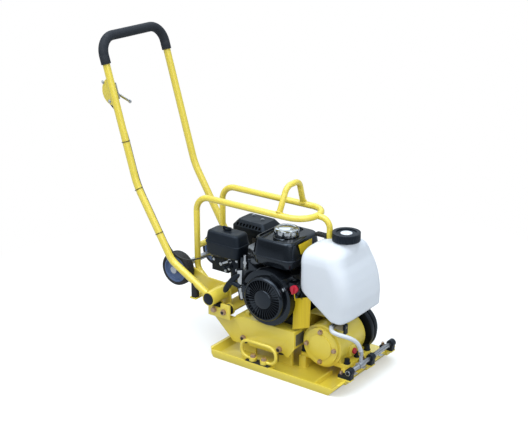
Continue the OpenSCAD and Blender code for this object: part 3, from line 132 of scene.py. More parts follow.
worldMix = addNode(worldTree, "ShaderNodeMixShader", Fac=seen.outputs[0], i1=room.outputs[0],
                   i2=backdrop.outputs[0])
addNode(worldTree, "ShaderNodeOutputWorld", Surface=worldMix.outputs[0])
print("camera, lamps and world ready")


# every surface is one principled shader with patchy colour, patchy roughness and a fine grain;
# grain under about 1 mm would not show in the picture, so it is drawn coarser than life
def makeSurface(name, colour, shade, patchMm, grainMm, grainDepthMm, rough, metallic=0.0, ior=1.5, coat=0.0,
                coatRough=0.1, paintedShade=None, paintedShadeMm=14, subsurface=0.0, stretch=(1, 1, 1), glint="#FFFFFF"):
    material = bpy.data.materials.new(name)
    material.use_nodes = True
    tree = material.node_tree
    tree.nodes.clear()
    place = addNode(tree, "ShaderNodeTexCoord").outputs["Object"]
    stretched = addNode(tree, "ShaderNodeMapping", Vector=place, Scale=stretch).outputs[0]
    patch = addNode(tree, "ShaderNodeTexNoise", Vector=stretched, Scale=1000 / patchMm, Detail=3.0, Roughness=0.55)
    tone = addNode(tree, "ShaderNodeMix", {"data_type": "RGBA"}, i0=patch.outputs[0], i6=toLinear(colour),
                   i7=toLinear(shade)).outputs[2]
    if paintedShade:  # painted shade: a darker colour mixed in where surfaces meet, masked by ambient occlusion
        hollow = addNode(tree, "ShaderNodeAmbientOcclusion", {"samples": 6, "only_local": True},
                         Distance=paintedShadeMm / 1000)
        # edge is the painted-shade mask: 1 where nearby faces hem the surface in
        edge = addNode(tree, "ShaderNodeMapRange", i0=hollow.outputs["AO"], i1=0.0, i2=0.4, i3=1.0, i4=0.0)
        tone = addNode(tree, "ShaderNodeMix", {"data_type": "RGBA"}, i0=edge.outputs[0], i6=tone,
                       i7=toLinear(paintedShade)).outputs[2]
    sheenMap = addNode(tree, "ShaderNodeMapRange", i0=patch.outputs[0], i1=0.3, i2=0.7, i3=rough[0], i4=rough[1])
    grain = addNode(tree, "ShaderNodeTexNoise", Vector=stretched, Scale=1000 / grainMm, Detail=2.0)
    bump = addNode(tree, "ShaderNodeBump", Strength=0.6, Distance=grainDepthMm / 1000, Height=grain.outputs[0])
    shader = addNode(tree, "ShaderNodeBsdfPrincipled", Base_Color=tone, Roughness=sheenMap.outputs[0],
                     Metallic=metallic, Normal=bump.outputs[0])
    if metallic < 0.5:
        shader.inputs["IOR"].default_value = ior
        # glint tints the reflections; anything but white is painted reflection colour
        shader.inputs["Specular Tint"].default_value = toLinear(glint)
    shader.inputs["Coat Weight"].default_value = coat
    shader.inputs["Coat Roughness"].default_value = coatRough
    if subsurface:
        shader.inputs["Subsurface Weight"].default_value = subsurface
        shader.inputs["Subsurface Radius"].default_value = (0.012, 0.012, 0.014)
        shader.inputs["Subsurface Scale"].default_value = 1.0
    addNode(tree, "ShaderNodeOutputMaterial", Surface=shader.outputs[0])
    return material


# powder coat: baked yellow paint on steel, soft gloss with a faint orange peel, and darker yellow painted in as
# shade where surfaces meet
powderYellow = makeSurface("powder_coat_yellow", "#DDC945", "#D4BD3B", 110, 7.0, 0.006, (0.36, 0.46), ior=1.6,
                           coat=0.5, coatRough=0.24, paintedShade="#B89E22", paintedShadeMm=8)
coolGlint = "#CFE2FA"  # painted reflection colour: reflections on black paint and plastic are tinted a little blue, standing in for the bluish sky they mirror
# enamel: gloss black on pressed sheet steel
enamelBlack = makeSurface("enamel_black", "#050608", "#090B0E", 60, 3.0, 0.006, (0.12, 0.20), ior=1.5, coat=0.12,
                          coatRough=0.08, glint=coolGlint)
# satin black paint on sheet steel
satinBlack = makeSurface("satin_paint_black", "#06070A", "#0A0C10", 50, 1.4, 0.02, (0.40, 0.52), ior=1.38,
                         glint=coolGlint)
# ABS: moulded black plastic with a fine spark-eroded grain
mouldedBlack = makeSurface("abs_black", "#070A0F", "#0D1218", 40, 0.8, 0.02, (0.40, 0.52), ior=1.42,
                           glint=coolGlint)
# cast aluminium painted satin black, slightly sandy
castBlack = makeSurface("painted_casting_black", "#0A0C0F", "#13161A", 30, 1.2, 0.05, (0.42, 0.56))
# natural rubber: dull and a little chalky
rubberBlack = makeSurface("rubber_black", "#0D0E10", "#17181B", 25, 0.9, 0.04, (0.60, 0.78))
# tyre rubber: solid tread, dusty on the shoulders
tyreBlack = makeSurface("tyre_rubber", "#0C0D0F", "#1A1B1E", 30, 1.0, 0.05, (0.58, 0.78))
# NBR foam sleeve: blue-black, closed cells
foamBlack = makeSurface("nbr_foam", "#0E141C", "#151C26", 18, 1.1, 0.12, (0.70, 0.86))
# zinc plating with a yellow-brown passivation
zincPlate = makeSurface("zinc_passivated", "#C4AE98", "#A98570", 5, 1.0, 0.02, (0.24, 0.38), metallic=0.85)
# stainless tube, drawn along its length
drawnSteel = makeSurface("drawn_stainless", "#BCBEC2", "#A2A5AA", 12, 0.8, 0.01, (0.22, 0.32), metallic=1.0,
                         stretch=(1, 0.08, 1))
# bright nickel chrome on pressed steel
chromePlate = makeSurface("chrome_plate", "#B4B7BB", "#A7ABB0", 40, 3.0, 0.005, (0.08, 0.13), metallic=1.0)
# raw cast aluminium, dull grey and pitted
castAluminium = makeSurface("cast_aluminium", "#8E9092", "#787B7E", 14, 1.2, 0.06, (0.42, 0.58), metallic=0.8)
# heat-scaled mild steel
scaledSteel = makeSurface("heat_scaled_steel", "#2C2A28", "#393531", 22, 1.6, 0.05, (0.50, 0.66), metallic=0.6)
# moulded red nylon
redNylon = makeSurface("nylon_red", "#B81C33", "#A3162B", 20, 0.8, 0.02, (0.30, 0.42))
# blow-moulded HDPE: milky white, waxy, lets a little light in
milkyHdpe = makeSurface("hdpe_white", "#D0D4DA", "#C8CDD4", 140, 3.0, 0.02, (0.38, 0.48), ior=1.54, subsurface=0.12)
# braided PVC water hose: pale grey, soft gloss
hosePvc = makeSurface("pvc_hose", "#CDD1D5", "#B6BBC1", 16, 1.2, 0.02, (0.24, 0.34))
# wheel centre: slate-blue nylon
slateNylon = makeSurface("nylon_slate", "#4E6288", "#43567B", 30, 1.0, 0.03, (0.40, 0.52))
# tap body: nickel-plated brass
platedBrass = makeSurface("plated_brass", "#8E856F", "#7C7157", 10, 0.9, 0.02, (0.28, 0.40), metallic=0.9)
# PVC sheath of the throttle cable
sheathBlack = makeSurface("pvc_sheath", "#0F1012", "#17181B", 12, 0.8, 0.01, (0.40, 0.52))
# plain card and lead: flat warm yellow, a little glossier than paper
cardYellow = makeSurface("coated_card_yellow", "#D9BE12", "#CDB00C", 8, 0.6, 0.01, (0.38, 0.50))
# corrugated plastic card: fine upright flutes in the bump, with upright streaks of darker yellow painted on as the
# flutes' shade
flutedYellow = makeSurface("fluted_card_yellow", "#E2C814", "#AE8C06", 8, 8.0, 0.4, (0.36, 0.50),
                           stretch=(1, 1, 0.02))
# pale zinc sheet, clear passivated
paleZinc = makeSurface("zinc_clear", "#C9CCD1", "#B3B8BF", 8, 0.8, 0.01, (0.34, 0.46), metallic=0.7)
print("materials ready")


def pickOnly(piece):
    bpy.ops.object.select_all(action="DESELECT")
    piece.hide_set(False)
    piece.select_set(True)
    bpy.context.view_layer.objects.active = piece


def dress(piece, body, slot, material, *replaced):
    piece.data.materials.clear()
    piece.data.materials.append(material)
    if body:
        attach(piece, body)
    if replaced:
        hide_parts(*replaced)
    return piece


def settle(piece, name):  # finished pieces sit at the origin, unturned and unscaled
    piece.name = name
    pickOnly(piece)
    bpy.ops.object.transform_apply(location=True, rotation=True, scale=True)
    return piece


def roundEdges(piece, width, steps=2, angle=32):
    pickOnly(piece)
    rounder = piece.modifiers.new("edge_round", "BEVEL")
    rounder.width = width
    rounder.segments = steps
    rounder.limit_method = "ANGLE"
    rounder.angle_limit = math.radians(angle)
    rounder.use_clamp_overlap = True
    bpy.ops.object.modifier_apply(modifier=rounder.name)
    bpy.ops.object.shade_smooth_by_angle(angle=math.radians(angle))
    return piece


def choose(piece, kind, test):  # leaves the piece in edit mode with the wanted parts selected
    pickOnly(piece)
    bpy.ops.object.mode_set(mode="EDIT")
    bpy.ops.mesh.select_mode(type=kind)
    bpy.ops.mesh.select_all(action="DESELECT")
    bpy.ops.object.mode_set(mode="OBJECT")
    spots = [v.co for v in piece.data.vertices]
    if kind == "VERT":
        for item in piece.data.vertices:
            item.select = test(item.co)
    elif kind == "EDGE":
        for item in piece.data.edges:
            item.select = test(spots[item.vertices[0]], spots[item.vertices[1]])
    else:
        for item in piece.data.polygons:
            item.select = test(item.center, item.normal)
    bpy.ops.object.mode_set(mode="EDIT")


def leaveEdit():
    bpy.ops.object.mode_set(mode="OBJECT")


def cleanMesh(piece):
    pickOnly(piece)
    bpy.ops.object.mode_set(mode="EDIT")
    bpy.ops.mesh.select_all(action="SELECT")
    bpy.ops.mesh.remove_doubles(threshold=1e-6)
    bpy.ops.mesh.dissolve_degenerate(threshold=1e-6)
    bpy.ops.mesh.normals_make_consistent(inside=False)
    leaveEdit()


def addBlock(name, low, high):
    bpy.ops.object.select_all(action="DESELECT")
    bpy.ops.mesh.primitive_cube_add(size=1, location=[(a + b) / 2000 for a, b in zip(low, high)])
    piece = bpy.context.active_object
    piece.scale = [(b - a) / 1000 for a, b in zip(low, high)]
    return settle(piece, name)


def addRod(name, foot, tip, radius, sides=32, tipRadius=None):
    foot, tip = Vector(foot) / 1000, Vector(tip) / 1000
    turn = (tip - foot).to_track_quat("Z", "Y").to_euler()
    bpy.ops.object.select_all(action="DESELECT")
    bpy.ops.mesh.primitive_cone_add(vertices=sides, radius1=radius / 1000, depth=(tip - foot).length,
                                    radius2=(radius if tipRadius is None else tipRadius) / 1000,
                                    location=(foot + tip) / 2, rotation=turn)
    piece = settle(bpy.context.active_object, name)
    bpy.ops.object.shade_smooth_by_angle(angle=math.radians(40))
    return piece


def addRing(name, centre, way, radius, wire, steps, wireSteps=8):  # round wire ring about the way, in mm
    turn = Vector(way).to_track_quat("Z", "Y").to_euler()
    bpy.ops.object.select_all(action="DESELECT")
    bpy.ops.mesh.primitive_torus_add(major_segments=steps, minor_segments=wireSteps, major_radius=radius / 1000,
                                     minor_radius=wire / 1000, location=Vector(centre) / 1000, rotation=turn)
    piece = settle(bpy.context.active_object, name)
    bpy.ops.object.shade_smooth()
    return piece


def addLathe(name, profile, centre, facing=(0, 0, 1), steps=64):  # closed profile of radius and height, in mm
    bpy.ops.object.select_all(action="DESELECT")
    bpy.ops.mesh.primitive_circle_add(vertices=len(profile), radius=1, fill_type="NOTHING")
    piece = bpy.context.active_object
    for vertex, (r, h) in zip(piece.data.vertices, profile):
        vertex.co = (r / 1000, 0, h / 1000)
    bpy.ops.object.mode_set(mode="EDIT")
    bpy.ops.mesh.select_all(action="SELECT")
    bpy.ops.mesh.spin(steps=steps, angle=2 * math.pi, center=(0, 0, 0), axis=(0, 0, 1))
    leaveEdit()
    cleanMesh(piece)
    piece.location = Vector(centre) / 1000
    piece.rotation_euler = Vector(facing).to_track_quat("Z", "Y").to_euler()
    settle(piece, name)
    bpy.ops.object.shade_smooth_by_angle(angle=math.radians(35))
    return piece


def addPrism(name, outline, plane, low, high):  # outline in the named plane, pushed from low to high
    bpy.ops.object.select_all(action="DESELECT")
    bpy.ops.mesh.primitive_circle_add(vertices=len(outline), radius=1, fill_type="NGON")
    piece = bpy.context.active_object
    depth = {"XZ": 1, "YZ": 0, "XY": 2}[plane]
    for vertex, (u, v) in zip(piece.data.vertices, outline):
        spot = [u / 1000, v / 1000]
        spot.insert(depth, low / 1000)
        vertex.co = spot
    push = [0, 0, 0]
    push[depth] = (high - low) / 1000
    bpy.ops.object.mode_set(mode="EDIT")
    bpy.ops.mesh.select_all(action="SELECT")
    bpy.ops.mesh.extrude_region_move(TRANSFORM_OT_translate={"value": push})
    leaveEdit()
    cleanMesh(piece)
    return settle(piece, name)


def roundOutline(corners, steps=6):  # corners are x, y and fillet radius
    made = []
    for i, (x, y, r) in enumerate(corners):
        here = Vector((x, y))
        before = (Vector(corners[i - 1][:2]) - here).normalized()
        after = (Vector(corners[(i + 1) % len(corners)][:2]) - here).normalized()
        half = before.angle(after) / 2
        if r <= 0:
            made.append((x, y))
            continue
        back = r / math.tan(half)
        middle = here + (before + after).normalized() * (r / math.sin(half))
        first, last = here + before * back - middle, here + after * back - middle
        sweep = first.angle_signed(last)
        for k in range(steps + 1):
            turned = Matrix.Rotation(-sweep * k / steps, 2) @ first
            made.append(tuple(middle + turned))
    return made


def carve(piece, tool, operation):
    pickOnly(piece)
    cut = piece.modifiers.new("carve", "BOOLEAN")
    cut.operation = operation
    cut.solver = "EXACT"
    cut.object = tool
    bpy.ops.object.modifier_apply(modifier=cut.name)
    bpy.data.objects.remove(tool)
    return piece


def addTub(name, spot, size, low, high, corner, topScale=1.0, lowScale=1.0, topEdge=0, lowEdge=0):  # rounded box
    x, y = spot
    piece = addBlock(name, (x - size[0] / 2, y - size[1] / 2, low), (x + size[0] / 2, y + size[1] / 2, high))
    choose(piece, "EDGE", lambda a, b: abs(a.z - b.z) > 1e-4)
    bpy.ops.mesh.bevel(offset=corner / 1000, segments=7, affect="EDGES")
    for isTop, scale, edge in ((True, topScale, topEdge), (False, lowScale, lowEdge)):
        level = (high if isTop else low) / 1000
        leaveEdit()
        choose(piece, "VERT", lambda c: abs(c.z - level) < 1e-5)
        bpy.ops.transform.resize(value=(scale, scale, 1), center_override=(x / 1000, y / 1000, level))
        leaveEdit()
        if edge:
            choose(piece, "EDGE", lambda a, b: abs(a.z - level) < 1e-5 and abs(b.z - level) < 1e-5)
            bpy.ops.mesh.bevel(offset=edge / 1000, segments=4, affect="EDGES")
            leaveEdit()
    pickOnly(piece)
    bpy.ops.object.shade_smooth_by_angle(angle=math.radians(40))
    return piece


def joined(name, pieces):
    bpy.ops.object.select_all(action="DESELECT")
    for piece in pieces:
        piece.select_set(True)
    bpy.context.view_layer.objects.active = pieces[0]
    bpy.ops.object.join()
    pieces[0].name = name
    return pieces[0]


def copied(piece, name, move):  # move is a 4 x 4 matrix
    twin = piece.copy()
    twin.data = piece.data.copy()
    twin.name = name
    scene.collection.objects.link(twin)
    twin.matrix_world = move @ twin.matrix_world
    return settle(twin, name)


def turnAbout(spot, axis, degrees):
    place = Matrix.Translation(Vector(spot) / 1000)
    return place @ Matrix.Rotation(math.radians(degrees), 4, axis) @ place.inverted()


def workedCopy(nodeName, width, steps=2):  # the CAD shape with broken edges
    piece = nodes[nodeName].copy()
    piece.data = nodes[nodeName].data.copy()
    for key in list(piece.keys()):
        del piece[key]
    piece.parent = None
    piece.matrix_world = Matrix.Identity(4)
    scene.collection.objects.link(piece)
    piece.name = nodeName + "_worked"
    pickOnly(piece)
    bpy.ops.object.mode_set(mode="EDIT")
    bpy.ops.mesh.select_all(action="SELECT")
    bpy.ops.mesh.remove_doubles(threshold=1e-5)
    bpy.ops.mesh.dissolve_limited(angle_limit=math.radians(0.4))
    leaveEdit()
    return roundEdges(piece, width, steps)


def curvePiece(name, points, diameter, radii=None):  # smooth round line through control points, in metres
    line = bpy.data.curves.new(name, "CURVE")
    line.dimensions = "3D"
    line.bevel_depth = diameter / 2
    line.bevel_resolution = 4
    line.use_fill_caps = True
    spline = line.splines.new("NURBS")
    spline.points.add(len(points) - 1)
    for i, point in enumerate(points):
        spline.points[i].co = (*point, 1)
        spline.points[i].radius = radii[i] if radii else 1
    spline.use_endpoint_u = True
    spline.order_u = 4
    spline.resolution_u = 6
    piece = bpy.data.objects.new(name, line)
    scene.collection.objects.link(piece)
    return piece


def bentPath(corners, radii, steps=14):  # straight runs joined by arcs, in mm
    made = []
    for i, (corner, r) in enumerate(zip(corners, radii)):
        here = Vector(corner)
        if r <= 0:
            made.append(here)
            continue
        before = (Vector(corners[i - 1]) - here).normalized()
        after = (Vector(corners[i + 1]) - here).normalized()
        half = before.angle(after) / 2
        middle = here + (before + after).normalized() * (r / math.sin(half))
        first = here + before * (r / math.tan(half)) - middle
        axis = before.cross(after)
        for k in range(steps + 1):
            made.append(middle + Matrix.Rotation(-(math.pi - 2 * half) * k / steps, 3, axis) @ first)
    return made


def tubePiece(name, spots, diameter):  # spots in mm
    line = bpy.data.curves.new(name, "CURVE")
    line.dimensions = "3D"
    line.bevel_depth = diameter / 2000
    line.bevel_resolution = 8
    line.use_fill_caps = True
    spline = line.splines.new("POLY")
    spline.points.add(len(spots) - 1)
    for point, spot in zip(spline.points, spots):
        point.co = (*(Vector(spot) / 1000), 1)
    piece = bpy.data.objects.new(name, line)
    scene.collection.objects.link(piece)
    return toMesh(piece)


def toMesh(piece):
    pickOnly(piece)
    bpy.ops.object.convert(target="MESH")
    made = bpy.context.active_object
    cleanMesh(made)
    bpy.ops.object.shade_smooth_by_angle(angle=math.radians(50))
    return made


def inMetres(route):
    return [tuple(v / 1000 for v in p) for p in route]


# free water hose between the tap and the sprinkler tee
waterHose = {
    "route": [(186, -91, 195), (186.5, -98, 194.5), (190, -108, 193), (200, -117, 190.5), (216, -121, 188.5),
              (236, -118, 186.5), (254, -109, 182), (267, -97, 173), (275, -85, 159), (277, -75, 142),
              (276.5, -67, 125), (275.5, -63, 113)],
    "diameter": 0.014,
}
hosePoints = inMetres(waterHose["route"])
hosePiece = curvePiece("water_hose_line", hosePoints, waterHose["diameter"])
dress(hosePiece, "frame", "clear_hose", hosePvc, "water_hose")

# loose end of the throttle cable: one end at the handle, the other at the engine
cableSpan = {
    "route": [(-452.2, -137.2, 353.1), (-436.9, -137.2, 327.9), (-414, -137, 310), (-388, -134, 301),
              (-360, -126, 300), (-331, -113, 309), (-306, -101, 322), (-281, -94, 330), (-252, -92, 332)],
    "diameter": 0.005,
}
spanPoints = inMetres(cableSpan["route"])
spanPiece = toMesh(curvePiece("throttle_cable_span", spanPoints, cableSpan["diameter"]))
dress(spanPiece, None, "rubber", sheathBlack, "cable_span")
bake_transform(spanPiece)

# cable tied along the near leg, and its black ties
tiedCable = {
    "route": [(-673, -146, 795), (-655, -140, 772), (-629.6, -137.2, 744.3), (-611.3, -137.2, 703),
              (-595.2, -137.2, 647.7), (-578.1, -137.2, 589.3), (-560.4, -137.2, 531.4), (-528.8, -137.2, 479.3),
              (-492.5, -137.2, 419.4), (-452.5, -137.2, 353.6)],
    "diameter": 0.005,
    "ties": [((-604.0, -153, 678.0), (-0.28, 0, 0.96)), ((-554.0, -153, 520.8), (-0.519, 0, 0.855)),
             ((-469.3, -153, 381.2), (-0.519, 0, 0.855))],
    "tieRadius": 13.6, "tieWire": 1.1,
}
tiedPiece = curvePiece("throttle_cable_tied", inMetres(tiedCable["route"]), tiedCable["diameter"])
dress(tiedPiece, "handle", "rubber", sheathBlack, "throttle_cable")
for i, (spot, along) in enumerate(tiedCable["ties"]):
    tie = addRing("cable_tie_%d" % i, spot, along, tiedCable["tieRadius"], tiedCable["tieWire"], 48)
    dress(tie, "handle", "black_plastic", mouldedBlack)
print("cords and cable ready")

# CAD shapes that only need their edges broken: material and edge width in mm
workedNodes = {
    "base_plate": (powderYellow, 1.8), "exciter_housing": (powderYellow, 2.4),
    "exciter_end_cover": (powderYellow, 1.6), "exciter_pulley_cover": (powderYellow, 1.2),
    "engine_deck": (powderYellow, 1.6),
    "handle_carrier": (powderYellow, 1.0), "cage_struts": (powderYellow, 0.8), "pivot_tube": (powderYellow, 1.0),
    "throttle_plate": (powderYellow, 0.5), "crankcase": (castBlack, 1.6), "cylinder_head": (castAluminium, 1.4),
    "belt_guard": (satinBlack, 2.5), "fan_cover": (enamelBlack, 3.0), "air_cleaner_nut": (mouldedBlack, 1.4),
    "carburettor": (satinBlack, 1.6), "choke_lever": (drawnSteel, 0.6), "fuel_lever": (mouldedBlack, 0.8),
    "control_lever": (drawnSteel, 0.6), "engine_switch": (redNylon, 1.8), "oil_dipstick": (castAluminium, 1.0),
    "muffler": (scaledSteel, 3.0), "muffler_guard": (satinBlack, 1.6), "handle_buffers": (rubberBlack, 1.5),
    "wheel_axle": (drawnSteel, 1.0), "hub_near": (slateNylon, 1.0), "hub_far": (slateNylon, 1.0),
    "tyre_near": (tyreBlack, 3.0), "tyre_far": (tyreBlack, 3.0), "pivot_caps": (mouldedBlack, 2.0),
    "handle_grip": (foamBlack, 2.5), "throttle_lever": (drawnSteel, 0.8), "tank_cap": (mouldedBlack, 1.0),
    "water_tap": (platedBrass, 1.0), "tap_lever": (mouldedBlack, 1.2), "bar_clamps": (mouldedBlack, 1.2),
    "frame_bolts": (zincPlate, 0.5), "exciter_mount_bolts": (mouldedBlack, 1.0),
    "exciter_oil_plug": (redNylon, 1.0),
    "rubber_isolators": (rubberBlack, 1.2), "side_loops": (powderYellow, 0.4), "cage_rails": (powderYellow, 0.4),
    "lifting_hoop": (powderYellow, 0.4), "sprinkler_bar": (drawnSteel, 0.4),
}
slotOf = {part["node"]: part["material_slot"] for part in frame["record"]["subparts"]}
for nodeName, (material, edgeMm) in workedNodes.items():
    piece = workedCopy(nodeName, edgeMm / 1000)
    dress(piece, nodes[nodeName]["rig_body"], slotOf[nodeName], material, nodeName)
print("worked copies:", len(workedNodes))

# handle: one bent tube from the pivot up the near leg, across and down the far leg
handleTube = {
    "leg": [(-268.3, 213.6), (-417, 295), (-562, 534), (-702, 1014)], "legY": 153, "diameter": 25,
    "radii": (0, 80, 250, 60, 60, 250, 80, 0),
}
nearLeg = [(x, -handleTube["legY"], z) for x, z in handleTube["leg"]]
farLeg = [(x, handleTube["legY"], z) for x, z in reversed(handleTube["leg"])]
handlePiece = tubePiece("handle_tube_bent", bentPath(nearLeg + farLeg, handleTube["radii"]), handleTube["diameter"])
dress(handlePiece, "handle", "yellow_paint", powderYellow, "handle_tube")

# CAD shapes that are right as they are
plainNodes = {
    "exciter_bearings": drawnSteel, "exciter_shaft": drawnSteel, "exciter_pulley": castBlack,
    "crankshaft": drawnSteel, "clutch_drum": drawnSteel, "drive_belt": rubberBlack,
}
for nodeName, material in plainNodes.items():
    nodes[nodeName].data.materials.clear()
    nodes[nodeName].data.materials.append(material)
print("plain nodes:", len(plainNodes))

# fuel tank: two pressed halves with a seam, the top dished around the filler
fuelTank = {
    "spot": (-35, -30), "floor": 348, "seam": 382, "seamHalf": 3.5, "top": 440,
    "upper": (162, 184), "upperCorner": 32, "rim": (168, 190), "rimCorner": 34,
    "lower": (161, 183), "lowerCorner": 30,
    "dishSpot": (-52, -34), "dish": (96, 156), "dishFloor": 431, "dishCorner": 22,
    "stays": (-65, 7), "stayY": -17, "stayLow": 326, "stayHigh": 350, "stayRadius": 9,
    "cap": (-24, -44), "collar": [(24, 0), (44, 0), (45, 2), (44.5, 8), (41, 11), (24, 11)], "collarSeat": 429,
}
tankUpper = addTub("fuel_tank_upper", fuelTank["spot"], fuelTank["upper"], fuelTank["seam"], fuelTank["top"],
                   fuelTank["upperCorner"], topScale=0.9, topEdge=10)
dishTool = addTub("fuel_dish", fuelTank["dishSpot"], fuelTank["dish"], fuelTank["dishFloor"], fuelTank["top"] + 20,
                  fuelTank["dishCorner"], lowScale=0.92, lowEdge=4)
carve(tankUpper, dishTool, "DIFFERENCE")
roundEdges(tankUpper, 0.0022, 3, 30)
tankSeam = addTub("fuel_tank_seam", fuelTank["spot"], fuelTank["rim"], fuelTank["seam"] - fuelTank["seamHalf"],
                  fuelTank["seam"] + fuelTank["seamHalf"], fuelTank["rimCorner"], topEdge=2.4, lowEdge=2.4)
tankLower = addTub("fuel_tank_lower", fuelTank["spot"], fuelTank["lower"], fuelTank["floor"], fuelTank["seam"] - 1,
                   fuelTank["lowerCorner"], lowScale=0.94, lowEdge=9)
tankStays = []
for x in fuelTank["stays"]:
    stayFoot, stayTip = [(x, fuelTank["stayY"], fuelTank[end]) for end in ("stayLow", "stayHigh")]
    tankStays.append(addRod("fuel_stay", stayFoot, stayTip, fuelTank["stayRadius"]))
tankCollar = addLathe("fuel_collar", fuelTank["collar"], (*fuelTank["cap"], fuelTank["collarSeat"]))
tankWhole = joined("fuel_tank_body", [tankUpper, tankSeam, tankLower, tankCollar] + tankStays)
dress(tankWhole, "frame", "black_paint", enamelBlack, "fuel_tank")

# fuel cap: chrome pressing with a scalloped skirt and a low crown
fuelCap = {
    "profile": [(0, 0), (37, 0), (40.5, 2), (41, 6), (41, 19), (40, 23), (36.5, 25.6), (33, 26.3), (29, 26.3),
                (27.5, 25.7), (26, 26.3), (14, 27.4), (0, 27.8)],
    "seat": 440.5, "lobes": 10, "skirtFrom": 38, "skirtTop": 21.5, "scallop": 0.13, "pinch": 0.94,
}
capPiece = addLathe("fuel_cap_chrome", fuelCap["profile"], (*fuelTank["cap"], fuelCap["seat"]), steps=96)
capCentre = Vector((*fuelTank["cap"], fuelCap["seat"])) / 1000


def inScallop(c):
    away = Vector((c.x - capCentre.x, c.y - capCentre.y))
    if away.length < fuelCap["skirtFrom"] / 1000 or c.z > capCentre.z + fuelCap["skirtTop"] / 1000:
        return False
    share = (math.atan2(away.y, away.x) / (2 * math.pi) * fuelCap["lobes"]) % 1.0
    return min(share, 1 - share) < fuelCap["scallop"]


choose(capPiece, "VERT", inScallop)
bpy.ops.transform.resize(value=(fuelCap["pinch"], fuelCap["pinch"], 1), center_override=capCentre)
leaveEdit()
dress(capPiece, "fuel_filler_cap", "bright_chrome", chromePlate, "fuel_cap")

# air cleaner: moulded cover over a tapered base, wing nut on an oval boss
airBox = {
    "spot": (-226, -94), "floor": 342, "seam": 384, "top": 426,
    "cover": (139, 73), "coverCorner": 17, "lip": (142, 76), "lipCorner": 18, "base": (138, 72), "baseCorner": 16,
    "boss": [(0, 0), (15, 0), (14, 3.5), (10, 4.5), (0, 4.5)], "bossSink": 3.7, "bossStretch": (1.5, 0.8, 1),
    "foot": ((-251, -100, 328), (-237, -90, 344)),
}
airX, airY = airBox["spot"]
airSeam, airTop = airBox["seam"], airBox["top"]
airCover = addTub("air_cover_shell", airBox["spot"], airBox["cover"], airSeam, airTop, airBox["coverCorner"],
                  topScale=0.9, topEdge=9)
airLip = addTub("air_cover_lip", airBox["spot"], airBox["lip"], airSeam + 0.2, airSeam + 5, airBox["lipCorner"],
                topEdge=2)
airBoss = addLathe("air_cover_boss", airBox["boss"], (airX, airY, airTop - airBox["bossSink"]))
choose(airBoss, "VERT", lambda c: True)
bpy.ops.transform.resize(value=airBox["bossStretch"], center_override=(airX / 1000, airY / 1000, 0))
leaveEdit()
airCoverWhole = joined("air_cover_whole", [airCover, airLip, airBoss])
dress(airCoverWhole, "frame", "black_plastic", mouldedBlack, "air_cleaner_cover")
airBase = addTub("air_base_shell", airBox["spot"], airBox["base"], airBox["floor"], airSeam - 0.4,
                 airBox["baseCorner"], lowScale=0.93, lowEdge=6)
airFoot = addBlock("air_base_foot", *airBox["foot"])
dress(joined("air_base_whole", [airBase, airFoot]), "frame", "black_plastic", mouldedBlack, "air_cleaner_base")
print("tank, cap and air cleaner ready")

# recoil cover: rim, ring of radial fins over a dark floor, plain domed centre
recoil = {
    "axis": (-36, -140, 252), "fins": 36, "finFrom": 33, "finTo": 66, "finHalf": 1.1,
    "finFace": -160.5, "finRoot": -153,
    "profile": [(0, 0), (75, 0), (75, 12), (74, 16.5), (71.5, 20), (68.5, 21.5), (66, 21), (65, 18), (64.5, 14),
                (34, 14), (33, 19), (31, 21.5), (22, 23.5), (10, 24.6), (0, 25)],
    "ropeBox": ((-123, -159, 254), (-86, -140, 282)),
}
recoilX, recoilZ = recoil["axis"][0], recoil["axis"][2]
recoilShell = addLathe("recoil_shell", recoil["profile"], recoil["axis"], (0, -1, 0), 96)
finPieces = [recoilShell]
fin = addBlock("recoil_fin", (recoilX + recoil["finFrom"], recoil["finFace"], recoilZ - recoil["finHalf"]),
               (recoilX + recoil["finTo"], recoil["finRoot"], recoilZ + recoil["finHalf"]))
roundEdges(fin, 0.0007, 2)
for i in range(recoil["fins"]):
    finPieces.append(copied(fin, "recoil_fin_%d" % i, turnAbout(recoil["axis"], "Y", 360 / recoil["fins"] * i)))
bpy.data.objects.remove(fin)
ropeBox = addBlock("rope_box", *recoil["ropeBox"])
roundEdges(ropeBox, 0.004, 3)
recoilWhole = joined("recoil_cover_whole", finPieces + [ropeBox])
dress(recoilWhole, "frame", "black_plastic", enamelBlack, "recoil_cover")

# raised ribs between the cooling slots of the fan cover, and its bright bolt
slotRibs = {"radii": (80, 85.5, 91), "half": 1.3, "from": 28, "to": 78, "steps": 20, "y": (-142.5, -139)}
ribStep = (slotRibs["to"] - slotRibs["from"]) / slotRibs["steps"]
ribPieces = []
for r in slotRibs["radii"]:
    turns = [math.radians(slotRibs["from"] + ribStep * k) for k in range(slotRibs["steps"] + 1)]
    outer, inner = r + slotRibs["half"], r - slotRibs["half"]
    ring = [(recoilX + outer * math.cos(a), recoilZ + outer * math.sin(a)) for a in turns]
    ring += [(recoilX + inner * math.cos(a), recoilZ + inner * math.sin(a)) for a in reversed(turns)]
    ribPieces.append(roundEdges(addPrism("fan_rib", ring, "XZ", *slotRibs["y"]), 0.0008, 2))
dress(joined("fan_cover_ribs", ribPieces), "frame", "black_paint", enamelBlack)


def hexBolt(name, foot, facing, across, height, flange):  # width across flats, head height and flange radius
    way = Vector(facing).normalized()
    head = addRod(name, foot, Vector(foot) + way * height, across / math.sqrt(3), 6)
    roundEdges(head, 0.0005, 2)
    plate = addRod(name + "_flange", foot, Vector(foot) + way * 1.6, flange)
    return joined(name, [head, plate])


coverBolts = {"fan": (32, -140, 298), "guard": ((-256, 92, 417.5), (-206, 74, 417.5))}
fanBolt = hexBolt("fan_cover_bolt", coverBolts["fan"], (0, -1, 0), 10, 7, 8)
dress(fanBolt, "frame", "zinc_steel", chromePlate)
for i, spot in enumerate(coverBolts["guard"]):
    dress(hexBolt("muffler_guard_bolt_%d" % i, spot, (0, 0, 1), 10, 5, 7), "frame", "zinc_steel", chromePlate)
print("recoil cover ready")

